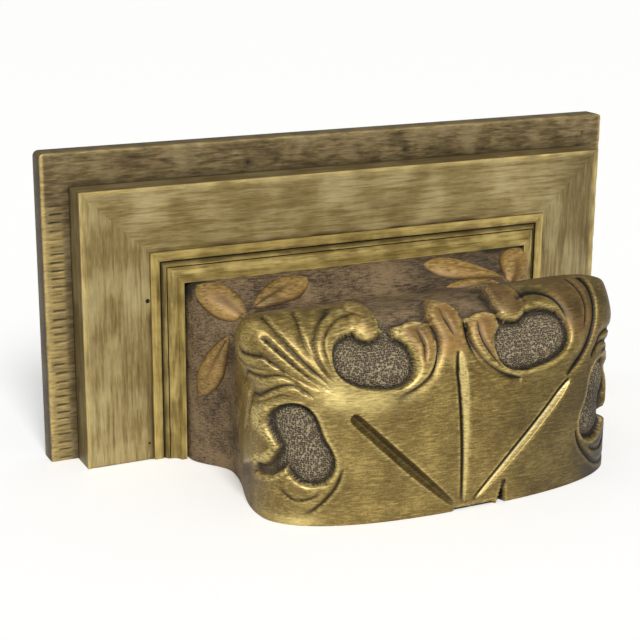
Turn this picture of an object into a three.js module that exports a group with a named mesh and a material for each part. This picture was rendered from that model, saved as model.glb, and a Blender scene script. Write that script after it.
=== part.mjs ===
import * as THREE from 'three';

// A carved and gilded wooden corbel bracket, in millimetres, +Z up.
// The back plate is vertical, its back face lies in the plane y = 0, and the carved block
// reaches forward along -Y. Every piece ends flush on one flat cut face below.

// Driving sizes of the back board
const BOARD_WIDTH = 330;
const BOARD_HEIGHT = 159.4;
const BOARD_THICKNESS = 11.4;
const BOARD_CORNER_RADIUS = 3;
const BOARD_CORNER_FACETS = 4;

// Driving sizes of the raised frame, three mitred lengths on the board
const FRAME_SIDE_MARGIN = 14;
const FRAME_TOP_MARGIN = 17.2;
const FRAME_STILE_WIDTH = 35;
const FRAME_RAIL_WIDTH = 32.8;
const FRAME_THICKNESS = 17.2;

// Driving sizes of the stepped inner moulding, three mitred lengths inside the frame
const MOULDING_WIDTH = 15.4;
const MOULDING_FIRST_FILLET = 4.6;
const MOULDING_SECOND_FILLET = 2.2;
const MOULDING_COVE = 4.4;
const MOULDING_COVE_FACETS = 4;
const MOULDING_QUIRK_WIDTH = 0.6;
const MOULDING_QUIRK_DEPTH = 0.9;
const MOULDING_FIRST_RISE = 1.2;
const MOULDING_STEP_RISE = 1.9;
const MOULDING_RISE = 7;

// Clearance between pieces that touch
const JOINT_GAP = 0.3;
// Open dark gap that shows between the carved block and the moulding around it
const BLOCK_GAP = 1.4;

// Driving sizes of the carved block
const BLOCK_REACH = 152.5;
const CREST_HALF_WIDTH = 96;
const CREST_HEIGHT = 95;
const FRONT_SIDE_BOW = 38;
const FRONT_TOP_BOW = 40;
const FRONT_SIDE_ROUNDNESS = 2.4;
const FRONT_TOP_ROUNDNESS = 2.2;
const FRONT_CORNER_BLEND = 1.6;
const WAIST_INSET_SIDE = 10;
const WAIST_INSET_TOP = 12;
const WAIST_DEPTH = 50;
const FOOT_FLARE_DEPTH = 25;

// The upper corners stand out like ears, between two heights above the cut face, and die away
// over shares of the way from the crest to the waist
const EAR_REACH = 6;
const EAR_START = 60;
const EAR_FULL = 79;
const EAR_SHARPNESS = 5;
const EAR_FADE = { from: 0.1, to: 0.75 };

// How square the block is seen from the front: 2 is an ellipse, more is squarer
const SQUARENESS_FOCUS = 2;
const SQUARENESS_CREST = 24;
const SQUARENESS_WAIST = 10;
const SQUARENESS_FOOT = 60;

// Facets of the carved block
const FACETS_ROUND = 114;
const FACETS_FRONT = 25;
const FACETS_WAIST = 8;
const FACETS_FOOT = 6;

// Carving, in millimetres on the block's front: u from the carving's centre line, mirrored,
// and z up from the cut face
const CARVING_CENTRE = -4.5;
const GROUND_DEPTH = 4.6;
const GROUND_EDGE = 1.8;
// The ground of a recess swells in its middle, between two distances inside its edge
const BOSS = { rise: 3.4, start: 1, full: 10 };
const UPPER_RECESS = { u: 42.5, z: 75, halfU: 20.5, halfZ: 12.3, tilt: 10 };
// The lower recess is a kidney: two round lobes that run into each other over the blend
const LOWER_RECESS = { u: 79.5, z: 38.5 };
const LOWER_LOBES = [
  { u: 85.2, z: 48.5, radius: 11.2 },
  { u: 77.8, z: 30, radius: 11.4 },
];
const LOBE_BLEND = 14;
const UPPER_SCROLL_TIP = { u: 40, z: 90.5, radius: 6.6 };
const LOWER_OPENING = { u: 88, low: 25.5, high: 36.5 };
// Rolls of the C-scrolls beside the recesses, between bearings in degrees
const SCROLL = { band: 6.5, rise: 1.8, roundness: 0.7, fadeIn: 35, fadeOut: 12 };
const UPPER_SCROLL = { from: -100, to: 125 };
const LOWER_SCROLLS = [
  { from: -10, to: 170 },
  { from: -150, to: -40 },
];
const LEAF_RISE = 1.8;
const LEAF_EDGE = 2.6;
const MIDDLE_LEAF = { z: 84.5, radius: 10.5, foot: 72, full: 82 };
const SIDE_LEAF = { u: 18.5, z: 80, radius: 10 };
const SIDE_LEAF_SWEEP = { u: 30, z: 81.5, radius: 21.5 };
const TOP_GROUND = { low: 87, high: 90, inner: 28, outer: 34 };
const FAN = { u: 64.5, z: 62, from: 10, to: 76, flutes: 4, depth: 2.2, start: 3, full: 16 };
// The flutes keep clear of the rolls and come to full depth a little way from them
const FAN_CLEARANCE = { start: SCROLL.band + 1, full: SCROLL.band + 3 };
const SLITS = [
  { u: 0, z: 92, toU: 0.5, toZ: 80, halfWidth: 1.4, depth: 1.8 },
  { u: 15.5, z: 85, toU: 17.5, toZ: 70, halfWidth: 1.4, depth: 1.8 },
];
// A groove widens quickly from where it starts and slowly from its blunter far end
const GROOVE_TAPER = { start: 7, end: 30, blunt: 0.25 };
const RAY_HALF_WIDTH = 3;
const RAY_DEPTH = 2;
const RAYS = [
  { x: -2.5, z: 73, toX: -5.5, toZ: 6 },
  { x: -60.5, z: 52.5, toX: -11.5, toZ: 4.5 },
  { x: 58.5, z: 54, toX: 0.5, toZ: 4.5 },
];

// Share of the way from the crest to the waist over which the front's carving dies away
const CARVING_WRAP = 0.35;

// Leaves on the cove behind the crest, by the places of their base and tip and their width;
// depth is counted forward from the board's back
const COVE_LEAF_RISE = 2.4;
const COVE_LEAF_SHAPE = { widest: 0.8, fullness: 0.7 };
const COVE_LEAVES = [
  { base: [77, 58, 77], tip: [95, 39.5, 91], width: 19 },
  { base: [72, 56, 82], tip: [35, 43.5, 91], width: 17 },
  { base: [84, 57, 70], tip: [95.5, 43.5, 36], width: 15 },
];

const DEGREE = Math.PI / 180;

// Stages of the block's surface, see blockPoint: the smallest one worked with, the smallest one
// a normal is taken at, and the step a normal is taken over
const STAGE_MIN = 1e-4;
const STAGE_NORMAL_MIN = 0.02;
const STAGE_STEP = 1e-3;

// Sizes that follow from the driving ones
const frameWidth = BOARD_WIDTH - 2 * FRAME_SIDE_MARGIN;
const frameHeight = BOARD_HEIGHT - FRAME_TOP_MARGIN;
const frameBack = BOARD_THICKNESS + JOINT_GAP;
const frameFace = frameBack + FRAME_THICKNESS;
const mouldingOuterWidth = frameWidth - 2 * FRAME_STILE_WIDTH - 2 * JOINT_GAP;
const mouldingOuterHeight = frameHeight - FRAME_RAIL_WIDTH - JOINT_GAP;
const mouldingFace = frameFace + MOULDING_RISE;
const footHalfWidth = mouldingOuterWidth / 2 - MOULDING_WIDTH - BLOCK_GAP;
const footHeight = mouldingOuterHeight - MOULDING_WIDTH - BLOCK_GAP;
const waistHalfWidth = CREST_HALF_WIDTH - WAIST_INSET_SIDE;
const waistHeight = CREST_HEIGHT - WAIST_INSET_TOP;

const clamp = (value) => Math.min(1, Math.max(0, value));
const mix = (from, to, share) => from + (to - from) * share;

// Rises smoothly from 0 at low to 1 at high
function ease(low, high, value) {
  const share = clamp((value - low) / (high - low));
  return share * share * (3 - 2 * share);
}

// A closed body from a list of corners and a list of triangles
function body(corners, triangles) {
  const geometry = new THREE.BufferGeometry();
  geometry.setAttribute('position', new THREE.Float32BufferAttribute(corners.flat(), 3));
  geometry.setIndex(triangles.flat());
  return geometry;
}

// A straight length of moulding: a closed profile of [distance in from the outer edge, distance
// forward of the board's back], and a function that gives a profile point's place at each end
function mouldingLength(profile, place) {
  const outline = profile.map(([inward, forward]) => new THREE.Vector2(inward, forward));
  const count = outline.length;
  const corners = [0, 1].flatMap((end) => profile.map(([inward, forward]) => place(inward, forward, end)));
  const triangles = [];
  for (const [a, b, c] of THREE.ShapeUtils.triangulateShape(outline, [])) {
    triangles.push([a, b, c], [a + count, c + count, b + count]);
  }
  for (let i = 0; i < count; i += 1) {
    const next = (i + 1) % count;
    triangles.push([i, i + count, next], [next, i + count, next + count]);
  }
  return outward(body(corners, triangles));
}

// Turns a closed body's triangles round where they point inwards
function outward(geometry) {
  const place = geometry.getAttribute('position');
  const index = geometry.getIndex();
  const corner = [new THREE.Vector3(), new THREE.Vector3(), new THREE.Vector3()];
  let volume = 0;
  for (let i = 0; i < index.count; i += 3) {
    corner.forEach((point, k) => point.fromBufferAttribute(place, index.getX(i + k)));
    volume += corner[0].dot(corner[1].clone().cross(corner[2]));
  }
  if (volume < 0) {
    for (let i = 0; i < index.count; i += 3) {
      const second = index.getX(i + 1);
      index.setX(i + 1, index.getX(i + 2));
      index.setX(i + 2, second);
    }
  }
  return geometry;
}

// The three mitred lengths that run up the left, along the top and down the right.
// run says the outer width and height, and how wide the stiles and the rail are.
function mitredLengths(profile, run) {
  const halfWidth = run.width / 2;
  const share = (inward) => inward / run.stile;
  const stile = (side) => (inward, forward, end) => [
    side * (halfWidth - inward),
    -forward,
    end === 0 ? 0 : run.height - share(inward) * run.rail - JOINT_GAP,
  ];
  const rail = (inward, forward, end) => [
    (end === 0 ? -1 : 1) * (halfWidth - inward - JOINT_GAP),
    -forward,
    run.height - share(inward) * run.rail,
  ];
  return {
    left: mouldingLength(profile, stile(-1)),
    top: mouldingLength(profile, rail),
    right: mouldingLength(profile, stile(1)),
  };
}

function backBoard() {
  const half = BOARD_WIDTH / 2;
  const radius = BOARD_CORNER_RADIUS;
  const outline = new THREE.Shape();
  outline.moveTo(-half, 0);
  outline.lineTo(half, 0);
  outline.lineTo(half, BOARD_HEIGHT - radius);
  outline.absarc(half - radius, BOARD_HEIGHT - radius, radius, 0, Math.PI / 2, false);
  outline.lineTo(-half + radius, BOARD_HEIGHT);
  outline.absarc(-half + radius, BOARD_HEIGHT - radius, radius, Math.PI / 2, Math.PI, false);
  const geometry = new THREE.ExtrudeGeometry(outline, {
    depth: BOARD_THICKNESS,
    bevelEnabled: false,
    curveSegments: BOARD_CORNER_FACETS,
  });
  return geometry.rotateX(Math.PI / 2);
}

function frameProfile() {
  return [
    [0, frameBack],
    [FRAME_STILE_WIDTH, frameBack],
    [FRAME_STILE_WIDTH, frameFace],
    [0, frameFace],
  ];
}

// Two flat fillets with a quirk beside each, a cove, and a square inner edge, each step
// standing further forward than the one before
function innerMouldingProfile() {
  const first = frameFace + MOULDING_FIRST_RISE;
  const second = first + MOULDING_STEP_RISE;
  const points = [
    [0, frameBack],
    [MOULDING_WIDTH, frameBack],
    [MOULDING_WIDTH, mouldingFace],
  ];
  const coveStart = MOULDING_FIRST_FILLET + MOULDING_SECOND_FILLET + 2 * MOULDING_QUIRK_WIDTH;
  for (let i = MOULDING_COVE_FACETS; i >= 0; i -= 1) {
    const turn = (i / MOULDING_COVE_FACETS) * (Math.PI / 2);
    const across = coveStart + MOULDING_COVE * Math.sin(turn);
    points.push([across, mix(second, mouldingFace, 1 - Math.cos(turn))]);
  }
  const quirks = [
    { edge: coveStart, level: second },
    { edge: MOULDING_FIRST_FILLET + MOULDING_QUIRK_WIDTH, level: first },
  ];
  for (const { edge, level } of quirks) {
    points.push([edge, level - MOULDING_QUIRK_DEPTH]);
    points.push([edge - MOULDING_QUIRK_WIDTH, level - MOULDING_QUIRK_DEPTH]);
    points.push([edge - MOULDING_QUIRK_WIDTH, level]);
  }
  points.push([0, first]);
  return points;
}

// How far the bowed front lies behind its foremost point at a place (x, z)
function frontBow(x, z) {
  const bow = (share, depth, roundness) => {
    const full = 1 - clamp(share) ** roundness;
    return depth * (1 - full ** (1 / roundness));
  };
  const side = bow(Math.abs(x) / CREST_HALF_WIDTH, FRONT_SIDE_BOW, FRONT_SIDE_ROUNDNESS);
  const top = bow(z / CREST_HEIGHT, FRONT_TOP_BOW, FRONT_TOP_ROUNDNESS);
  return (side ** FRONT_CORNER_BLEND + top ** FRONT_CORNER_BLEND) ** (1 / FRONT_CORNER_BLEND);
}

// A point of a squared half-ellipse above the cut face, seen from the focus along angle
function section(angle, halfWidth, height, squareness) {
  const along = Math.abs(Math.cos(angle) / halfWidth) ** squareness;
  const up = Math.abs(Math.sin(angle) / height) ** squareness;
  const reach = (along + up) ** (-1 / squareness);
  return [Math.cos(angle) * reach, Math.sin(angle) * reach];
}

// Widens a point of the block where the ears stand out, by a share of their reach
function withEar(point, share) {
  const outer = clamp(Math.abs(point.x) / CREST_HALF_WIDTH) ** EAR_SHARPNESS;
  point.x += Math.sign(point.x) * EAR_REACH * share * outer * ease(EAR_START, EAR_FULL, point.z);
  return point;
}

// The block without its carving. stage runs 0 to 1 from the focus to the crest, 1 to 2 from
// the crest to the waist, 2 to 3 from the waist to the foot, and 3 to 4 back to the board.
function blockPoint(angle, stage) {
  if (stage <= 1) {
    const share = Math.max(stage, STAGE_MIN);
    const squareness = mix(SQUARENESS_FOCUS, SQUARENESS_CREST, share * share);
    const [x, z] = section(angle, share * CREST_HALF_WIDTH, share * CREST_HEIGHT, squareness);
    return withEar(new THREE.Vector3(x, frontBow(x, z) - BLOCK_REACH, z), 1);
  }
  const crest = blockPoint(angle, 1);
  const footDepth = mouldingFace;
  const waistShare = WAIST_DEPTH / (WAIST_DEPTH + FOOT_FLARE_DEPTH);
  if (stage <= 2) {
    const share = stage - 1;
    const turn = 0.5 - 0.5 * Math.cos(Math.PI * share);
    const squareness = mix(SQUARENESS_CREST, SQUARENESS_WAIST, turn);
    const halfWidth = mix(CREST_HALF_WIDTH, waistHalfWidth, turn);
    const [x, z] = section(angle, halfWidth, mix(CREST_HEIGHT, waistHeight, turn), squareness);
    const point = new THREE.Vector3(x, mix(crest.y, -footDepth, waistShare * share), z);
    return withEar(point, 1 - ease(EAR_FADE.from, EAR_FADE.to, share));
  }
  const share = Math.min(stage, 3) - 2;
  const turn = 0.5 - 0.5 * Math.cos(Math.PI * share);
  const squareness = mix(SQUARENESS_WAIST, SQUARENESS_FOOT, turn);
  const halfWidth = mix(waistHalfWidth, footHalfWidth, turn);
  const [x, z] = section(angle, halfWidth, mix(waistHeight, footHeight, turn), squareness);
  const y = mix(crest.y, -footDepth, mix(waistShare, 1, share));
  return new THREE.Vector3(x, stage > 3 ? mix(-footDepth, -frameBack, stage - 3) : y, z);
}

// Distance in millimetres inside the edge of a tilted oval, negative outside
function insideOval(u, z, oval) {
  const turn = oval.tilt * DEGREE;
  const du = u - oval.u;
  const dz = z - oval.z;
  const p = (du * Math.cos(turn) + dz * Math.sin(turn)) / oval.halfU;
  const q = (dz * Math.cos(turn) - du * Math.sin(turn)) / oval.halfZ;
  const reach = Math.hypot(p, q);
  const slope = Math.hypot(p / oval.halfU, q / oval.halfZ);
  return slope === 0 ? oval.halfU : ((1 - reach) * reach) / slope;
}

// Distance inside the kidney of two round lobes that run into each other, negative outside
function insideLobes(u, z, lobes) {
  const [first, second] = lobes.map((lobe) => lobe.radius - Math.hypot(u - lobe.u, z - lobe.z));
  const near = Math.max(0, LOBE_BLEND - Math.abs(first - second)) / LOBE_BLEND;
  return Math.max(first, second) + (near * near * LOBE_BLEND) / 4;
}

// A gouged or knife-cut groove with pointed ends
function groove(x, z, cut) {
  const alongX = cut.toX - cut.x;
  const alongZ = cut.toZ - cut.z;
  const length = Math.hypot(alongX, alongZ);
  const share = ((x - cut.x) * alongX + (z - cut.z) * alongZ) / (length * length);
  if (share <= 0 || share >= 1) {
    return 0;
  }
  const across = Math.abs((x - cut.x) * alongZ - (z - cut.z) * alongX) / length;
  const start = (share * length) / GROOVE_TAPER.start;
  const end = ((1 - share) * length) / GROOVE_TAPER.end + GROOVE_TAPER.blunt;
  const halfWidth = cut.halfWidth * Math.min(1, start, end);
  return across >= halfWidth ? 0 : -cut.depth * Math.sqrt(1 - (across / halfWidth) ** 2);
}

// Angle in degrees of a place seen from a recess's centre, 0 outwards and 90 up
function bearing(u, z, recess) {
  return Math.atan2(z - recess.z, u - recess.u) / DEGREE;
}

// The roll of a C-scroll along a recess's edge, between the scroll's two bearings
function scrollBand(inside, angle, scroll) {
  if (inside >= 0 || inside <= -SCROLL.band) {
    return 0;
  }
  const start = ease(scroll.from, scroll.from + SCROLL.fadeIn, angle);
  const end = 1 - ease(scroll.to - SCROLL.fadeOut, scroll.to, angle);
  return SCROLL.rise * start * end * Math.sin((Math.PI * -inside) / SCROLL.band) ** SCROLL.roundness;
}

// Height of the carving over the plain block at a place on the front
function frontCarving(x, z) {
  const side = CREST_HALF_WIDTH + Math.sign(x - CARVING_CENTRE) * -CARVING_CENTRE;
  const u = (Math.abs(x - CARVING_CENTRE) * CREST_HALF_WIDTH) / side;
  const tip = Math.hypot(u - UPPER_SCROLL_TIP.u, z - UPPER_SCROLL_TIP.z) - UPPER_SCROLL_TIP.radius;
  const upper = Math.min(insideOval(u, z, UPPER_RECESS), tip);
  const opening = Math.min(u - LOWER_OPENING.u, z - LOWER_OPENING.low, LOWER_OPENING.high - z);
  const kidney = insideLobes(u, z, LOWER_LOBES);
  const lower = Math.max(kidney, opening);

  const sweep = Math.hypot(u - SIDE_LEAF_SWEEP.u, z - SIDE_LEAF_SWEEP.z) - SIDE_LEAF_SWEEP.radius;
  const sideTop = SIDE_LEAF.radius - Math.hypot(u - SIDE_LEAF.u, Math.max(0, z - SIDE_LEAF.z));
  const sideLeaf = Math.min(-sweep, -upper, sideTop);
  const middleTop = MIDDLE_LEAF.radius - Math.hypot(u, Math.max(0, z - MIDDLE_LEAF.z));
  const middleLeaf = Math.min(sweep, middleTop);
  const middleFade = ease(MIDDLE_LEAF.foot, MIDDLE_LEAF.full, z);
  const leaf = Math.max(ease(0, LEAF_EDGE, sideLeaf), ease(0, LEAF_EDGE, middleLeaf) * middleFade);

  const topGround = ease(TOP_GROUND.low, TOP_GROUND.high, z)
    * (1 - ease(TOP_GROUND.inner, TOP_GROUND.outer, u));
  const ground = Math.max(ease(0, GROUND_EDGE, upper), ease(0, GROUND_EDGE, lower), topGround);
  const boss = ease(BOSS.start, BOSS.full, Math.max(upper, kidney));

  const reach = Math.hypot(u - FAN.u, z - FAN.z);
  const angle = Math.atan2(z - FAN.z, u - FAN.u) / DEGREE;
  const turn = clamp((angle - FAN.from) / (FAN.to - FAN.from)) * FAN.flutes;
  const away = -Math.max(upper, lower);
  const fanMask = ease(FAN.start, FAN.full, reach)
    * ease(FAN_CLEARANCE.start, FAN_CLEARANCE.full, away);
  const flutes = -FAN.depth * fanMask * Math.abs(Math.sin(Math.PI * turn));

  let height = (1 - leaf) * (BOSS.rise * boss - GROUND_DEPTH * ground) + LEAF_RISE * leaf + flutes;
  height += scrollBand(upper, bearing(u, z, UPPER_RECESS), UPPER_SCROLL);
  for (const scroll of LOWER_SCROLLS) {
    height += scrollBand(lower, bearing(u, z, LOWER_RECESS), scroll);
  }
  height += SCROLL.rise * (1 - ease(-UPPER_SCROLL_TIP.radius, 1, tip));
  for (const slit of SLITS) {
    height += groove(u, z, { ...slit, x: slit.u, toX: slit.toU });
  }
  for (const ray of RAYS) {
    height += groove(x, z, { ...ray, halfWidth: RAY_HALF_WIDTH, depth: RAY_DEPTH });
  }
  return height;
}

// Height of the leaves on the cove at a point of the plain block
function coveCarving(point) {
  let height = 0;
  for (const leaf of COVE_LEAVES) {
    const side = Math.sign(point.x) || 1;
    const base = new THREE.Vector3(side * leaf.base[0], -leaf.base[1], leaf.base[2]);
    const tip = new THREE.Vector3(side * leaf.tip[0], -leaf.tip[1], leaf.tip[2]);
    const axis = tip.clone().sub(base);
    const away = point.clone().sub(base);
    const share = away.dot(axis) / axis.lengthSq();
    if (share > 0 && share < 1) {
      const swell = Math.sin(Math.PI * share ** COVE_LEAF_SHAPE.widest) ** COVE_LEAF_SHAPE.fullness;
      const halfWidth = Math.max((leaf.width / 2) * swell, JOINT_GAP);
      const across = away.addScaledVector(axis, -share).length() / halfWidth;
      height = Math.max(height, COVE_LEAF_RISE * Math.sqrt(Math.max(0, 1 - across * across)));
    }
  }
  return height;
}

// The carved block's surface point at an angle and a stage
function carvedPoint(angle, stage) {
  const point = blockPoint(angle, stage);
  const nearStage = Math.max(stage, STAGE_NORMAL_MIN);
  const here = blockPoint(angle, nearStage);
  const onward = blockPoint(angle, nearStage + (stage === 4 ? -STAGE_STEP : STAGE_STEP));
  const round = blockPoint(angle + STAGE_STEP, nearStage);
  const normal = round.sub(here).cross(onward.sub(here)).normalize();
  if (normal.dot(new THREE.Vector3(point.x, -Math.abs(point.y), point.z)) < 0) {
    normal.negate();
  }
  const crest = stage <= 1 ? point : blockPoint(angle, 1);
  const behindCrest = 1 - ease(0, CARVING_WRAP, stage - 1);
  let height = frontCarving(crest.x, crest.z) * behindCrest;
  if (stage > 1 && stage < 3) {
    height += coveCarving(point);
  }
  if (stage >= 3) {
    height = 0;
  }
  point.addScaledVector(normal, height);
  point.y = Math.max(point.y, -BLOCK_REACH);
  return point;
}

// Angles from the right, over the top, to the left, evenly spaced round the crest's outline
function crestAngles() {
  const outline = 2 * CREST_HEIGHT + 2 * CREST_HALF_WIDTH;
  const angles = [];
  for (let i = 0; i <= FACETS_ROUND; i += 1) {
    const way = (outline * i) / FACETS_ROUND;
    const rise = Math.min(way, CREST_HEIGHT, outline - way);
    const across = clamp((way - CREST_HEIGHT) / (2 * CREST_HALF_WIDTH));
    angles.push(Math.atan2(rise, CREST_HALF_WIDTH * (1 - 2 * across)));
  }
  return angles;
}

function carvedBlock() {
  const angles = crestAngles();
  const stages = [];
  for (let i = 1; i <= FACETS_FRONT; i += 1) {
    stages.push(i / FACETS_FRONT);
  }
  for (let i = 1; i <= FACETS_WAIST; i += 1) {
    stages.push(1 + i / FACETS_WAIST);
  }
  for (let i = 1; i <= FACETS_FOOT; i += 1) {
    stages.push(2 + i / FACETS_FOOT);
  }
  stages.push(4);
  const last = angles.length - 1;
  const corners = [[0, -BLOCK_REACH, 0]];
  for (const stage of stages) {
    angles.forEach((angle, j) => {
      const point = carvedPoint(angle, stage);
      const onCut = j === 0 || j === last;
      corners.push([point.x, point.y, onCut ? 0 : point.z]);
    });
  }
  const at = (i, j) => 1 + i * angles.length + j;
  const triangles = [];
  for (let j = 0; j < last; j += 1) {
    triangles.push([0, at(0, j), at(0, j + 1)]);
    for (let i = 0; i < stages.length - 1; i += 1) {
      triangles.push([at(i, j), at(i + 1, j), at(i + 1, j + 1)]);
      triangles.push([at(i, j), at(i + 1, j + 1), at(i, j + 1)]);
    }
  }
  const cover = (ring, middle) => {
    const centre = corners.push(middle) - 1;
    ring.forEach((corner, k) => triangles.push([centre, corner, ring[(k + 1) % ring.length]]));
  };
  const rows = stages.map((_, i) => i);
  const cutRing = [0, ...rows.map((i) => at(i, last)), ...rows.map((i) => at(i, 0)).reverse()];
  cover(cutRing, [0, -(BLOCK_REACH + frameBack) / 2, 0]);
  const backRing = angles.map((_, j) => at(stages.length - 1, j));
  cover(backRing, [0, -frameBack, footHeight / 2]);
  return outward(consistent(body(corners, triangles)));
}

// Turns the triangles of a closed body so that neighbours agree on which side is out
function consistent(geometry) {
  const index = geometry.getIndex();
  const count = index.count / 3;
  const edges = new Map();
  const corner = (t, k) => index.getX(3 * t + (k % 3));
  for (let t = 0; t < count; t += 1) {
    for (let k = 0; k < 3; k += 1) {
      const key = [corner(t, k), corner(t, k + 1)].sort((a, b) => a - b).join();
      edges.set(key, [...(edges.get(key) ?? []), t]);
    }
  }
  const seen = new Set([0]);
  const queue = [0];
  while (queue.length > 0) {
    const t = queue.pop();
    for (let k = 0; k < 3; k += 1) {
      const [a, b] = [corner(t, k), corner(t, k + 1)];
      for (const other of edges.get([a, b].sort((m, n) => m - n).join())) {
        if (!seen.has(other)) {
          seen.add(other);
          queue.push(other);
          const same = [0, 1, 2].some((m) => corner(other, m) === a && corner(other, m + 1) === b);
          if (same) {
            const second = index.getX(3 * other + 1);
            index.setX(3 * other + 1, index.getX(3 * other + 2));
            index.setX(3 * other + 2, second);
          }
        }
      }
    }
  }
  return geometry;
}

const antiqueGold = new THREE.MeshStandardMaterial({ color: 0x8a7238, roughness: 0.42, metalness: 0.7 });
const wornGold = new THREE.MeshStandardMaterial({ color: 0x7a6a45, roughness: 0.55, metalness: 0.45 });
const brushedGold = new THREE.MeshStandardMaterial({ color: 0x94804a, roughness: 0.45, metalness: 0.6 });
const brightGold = new THREE.MeshStandardMaterial({ color: 0xa08544, roughness: 0.38, metalness: 0.7 });

function piece(name, geometry, material) {
  const mesh = new THREE.Mesh(geometry, material.clone());
  mesh.name = name;
  return mesh;
}

// The bracket stands on its cut face in this group, which is then lowered so that the middle
// of the board's back face is at the origin
const bracket = new THREE.Group();
bracket.name = 'bracket';
bracket.position.z = -BOARD_HEIGHT / 2;
bracket.add(piece('back_board', backBoard(), wornGold));

const frame = mitredLengths(frameProfile(), {
  width: frameWidth,
  height: frameHeight,
  stile: FRAME_STILE_WIDTH,
  rail: FRAME_RAIL_WIDTH,
});
bracket.add(piece('frame_left_stile', frame.left, brushedGold));
bracket.add(piece('frame_top_rail', frame.top, brushedGold));
bracket.add(piece('frame_right_stile', frame.right, brushedGold));

const moulding = mitredLengths(innerMouldingProfile(), {
  width: mouldingOuterWidth,
  height: mouldingOuterHeight,
  stile: MOULDING_WIDTH,
  rail: MOULDING_WIDTH,
});
bracket.add(piece('inner_moulding_left', moulding.left, brightGold));
bracket.add(piece('inner_moulding_top', moulding.top, brightGold));
bracket.add(piece('inner_moulding_right', moulding.right, brightGold));
bracket.add(piece('carved_block', carvedBlock(), antiqueGold));

const part = new THREE.Group();
part.name = 'corbel_bracket';
part.add(bracket);

export default part;
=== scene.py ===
import logging
import math
from collections.abc import Callable
from dataclasses import dataclass
from enum import Enum

import bmesh
import bpy
import numpy as np
from mathutils import Matrix, Vector, noise
from mathutils.bvhtree import BVHTree


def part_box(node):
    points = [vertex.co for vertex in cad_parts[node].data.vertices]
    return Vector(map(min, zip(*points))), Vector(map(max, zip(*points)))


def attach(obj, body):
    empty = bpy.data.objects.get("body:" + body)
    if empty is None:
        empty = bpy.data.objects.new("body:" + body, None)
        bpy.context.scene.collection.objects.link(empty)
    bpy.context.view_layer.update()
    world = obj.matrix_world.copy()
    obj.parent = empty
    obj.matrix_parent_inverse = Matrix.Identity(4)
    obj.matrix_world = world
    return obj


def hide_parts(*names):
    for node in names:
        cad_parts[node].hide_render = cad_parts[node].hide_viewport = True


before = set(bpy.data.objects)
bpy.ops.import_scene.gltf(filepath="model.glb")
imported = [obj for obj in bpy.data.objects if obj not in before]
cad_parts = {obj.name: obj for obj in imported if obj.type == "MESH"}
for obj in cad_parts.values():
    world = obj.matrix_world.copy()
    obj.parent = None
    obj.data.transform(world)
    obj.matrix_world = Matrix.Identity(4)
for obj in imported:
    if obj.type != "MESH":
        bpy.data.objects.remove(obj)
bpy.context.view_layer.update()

# Looks of a carved and gilded wooden corbel bracket. Sizes are in millimetres and become
# metres where they enter Blender. Heights named z are counted up from the cut face below.

MM = 0.001
CUT_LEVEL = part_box("back_board")[0].z

log = logging.getLogger("corbel_bracket")

Number = float | np.ndarray
Socket = bpy.types.NodeSocket

# Points nearer than this are one point, in metres
SAME_POINT = 1e-7

# How far forward of the board's back each part's face stands
BOARD_FRONT = 11.7
FRAME_FRONT = 28.9
MOULDING_FRONT = 35.9


def ease(low: Number, high: Number, value: Number) -> Number:
    """Rises smoothly from 0 at low to 1 at high.

    Args:
        low: Value where the rise starts.
        high: Value where it ends.
        value: A number or an array.

    Returns:
        The share, from 0 to 1, in the shape of value.
    """
    share = np.clip((value - low) / (high - low), 0.0, 1.0)
    return share * share * (3.0 - 2.0 * share)


def mix(start: Number, end: Number, share: Number) -> Number:
    """Returns the value a share of the way from start to end."""
    return start + (end - start) * share


def linear(hex_colour: str) -> tuple[float, float, float, float]:
    """Turns an sRGB hex colour into linear light.

    Args:
        hex_colour: Six hex digits with a leading #.

    Returns:
        Red, green, blue and an alpha of 1.
    """
    parts = [int(hex_colour[i : i + 2], 16) / 255 for i in (1, 3, 5)]
    light = [p / 12.92 if p <= 0.04045 else ((p + 0.055) / 1.055) ** 2.4 for p in parts]
    return (light[0], light[1], light[2], 1.0)


class Axis(Enum):
    """The way a length of wood runs, which its grain and brush strokes follow."""

    ACROSS = 0
    UP = 2

    def drawn_out(self, times: float) -> tuple[float, ...]:
        """Returns the coordinate scales that draw a pattern out along this axis."""
        return tuple(1.0 / times if axis == self.value else 1.0 for axis in range(3))


class Layer(Enum):
    """Surface measures that a piece keeps on its vertices for its material."""

    GROUND = "ground"
    LEAF = "leaf"
    RELIEF = "relief"
    BURNISH = "burnish"
    WEAR = "wear"
    SHADE = "shade"


class Kind(Enum):
    """The kinds of shader node that the finishes are made of."""

    ATTRIBUTE = "ShaderNodeAttribute"
    BUMP = "ShaderNodeBump"
    COORDINATES = "ShaderNodeTexCoord"
    MAPPING = "ShaderNodeMapping"
    MATH = "ShaderNodeMath"
    MIX = "ShaderNodeMix"
    NOISE = "ShaderNodeTexNoise"
    RAMP = "ShaderNodeValToRGB"
    VORONOI = "ShaderNodeTexVoronoi"


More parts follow.
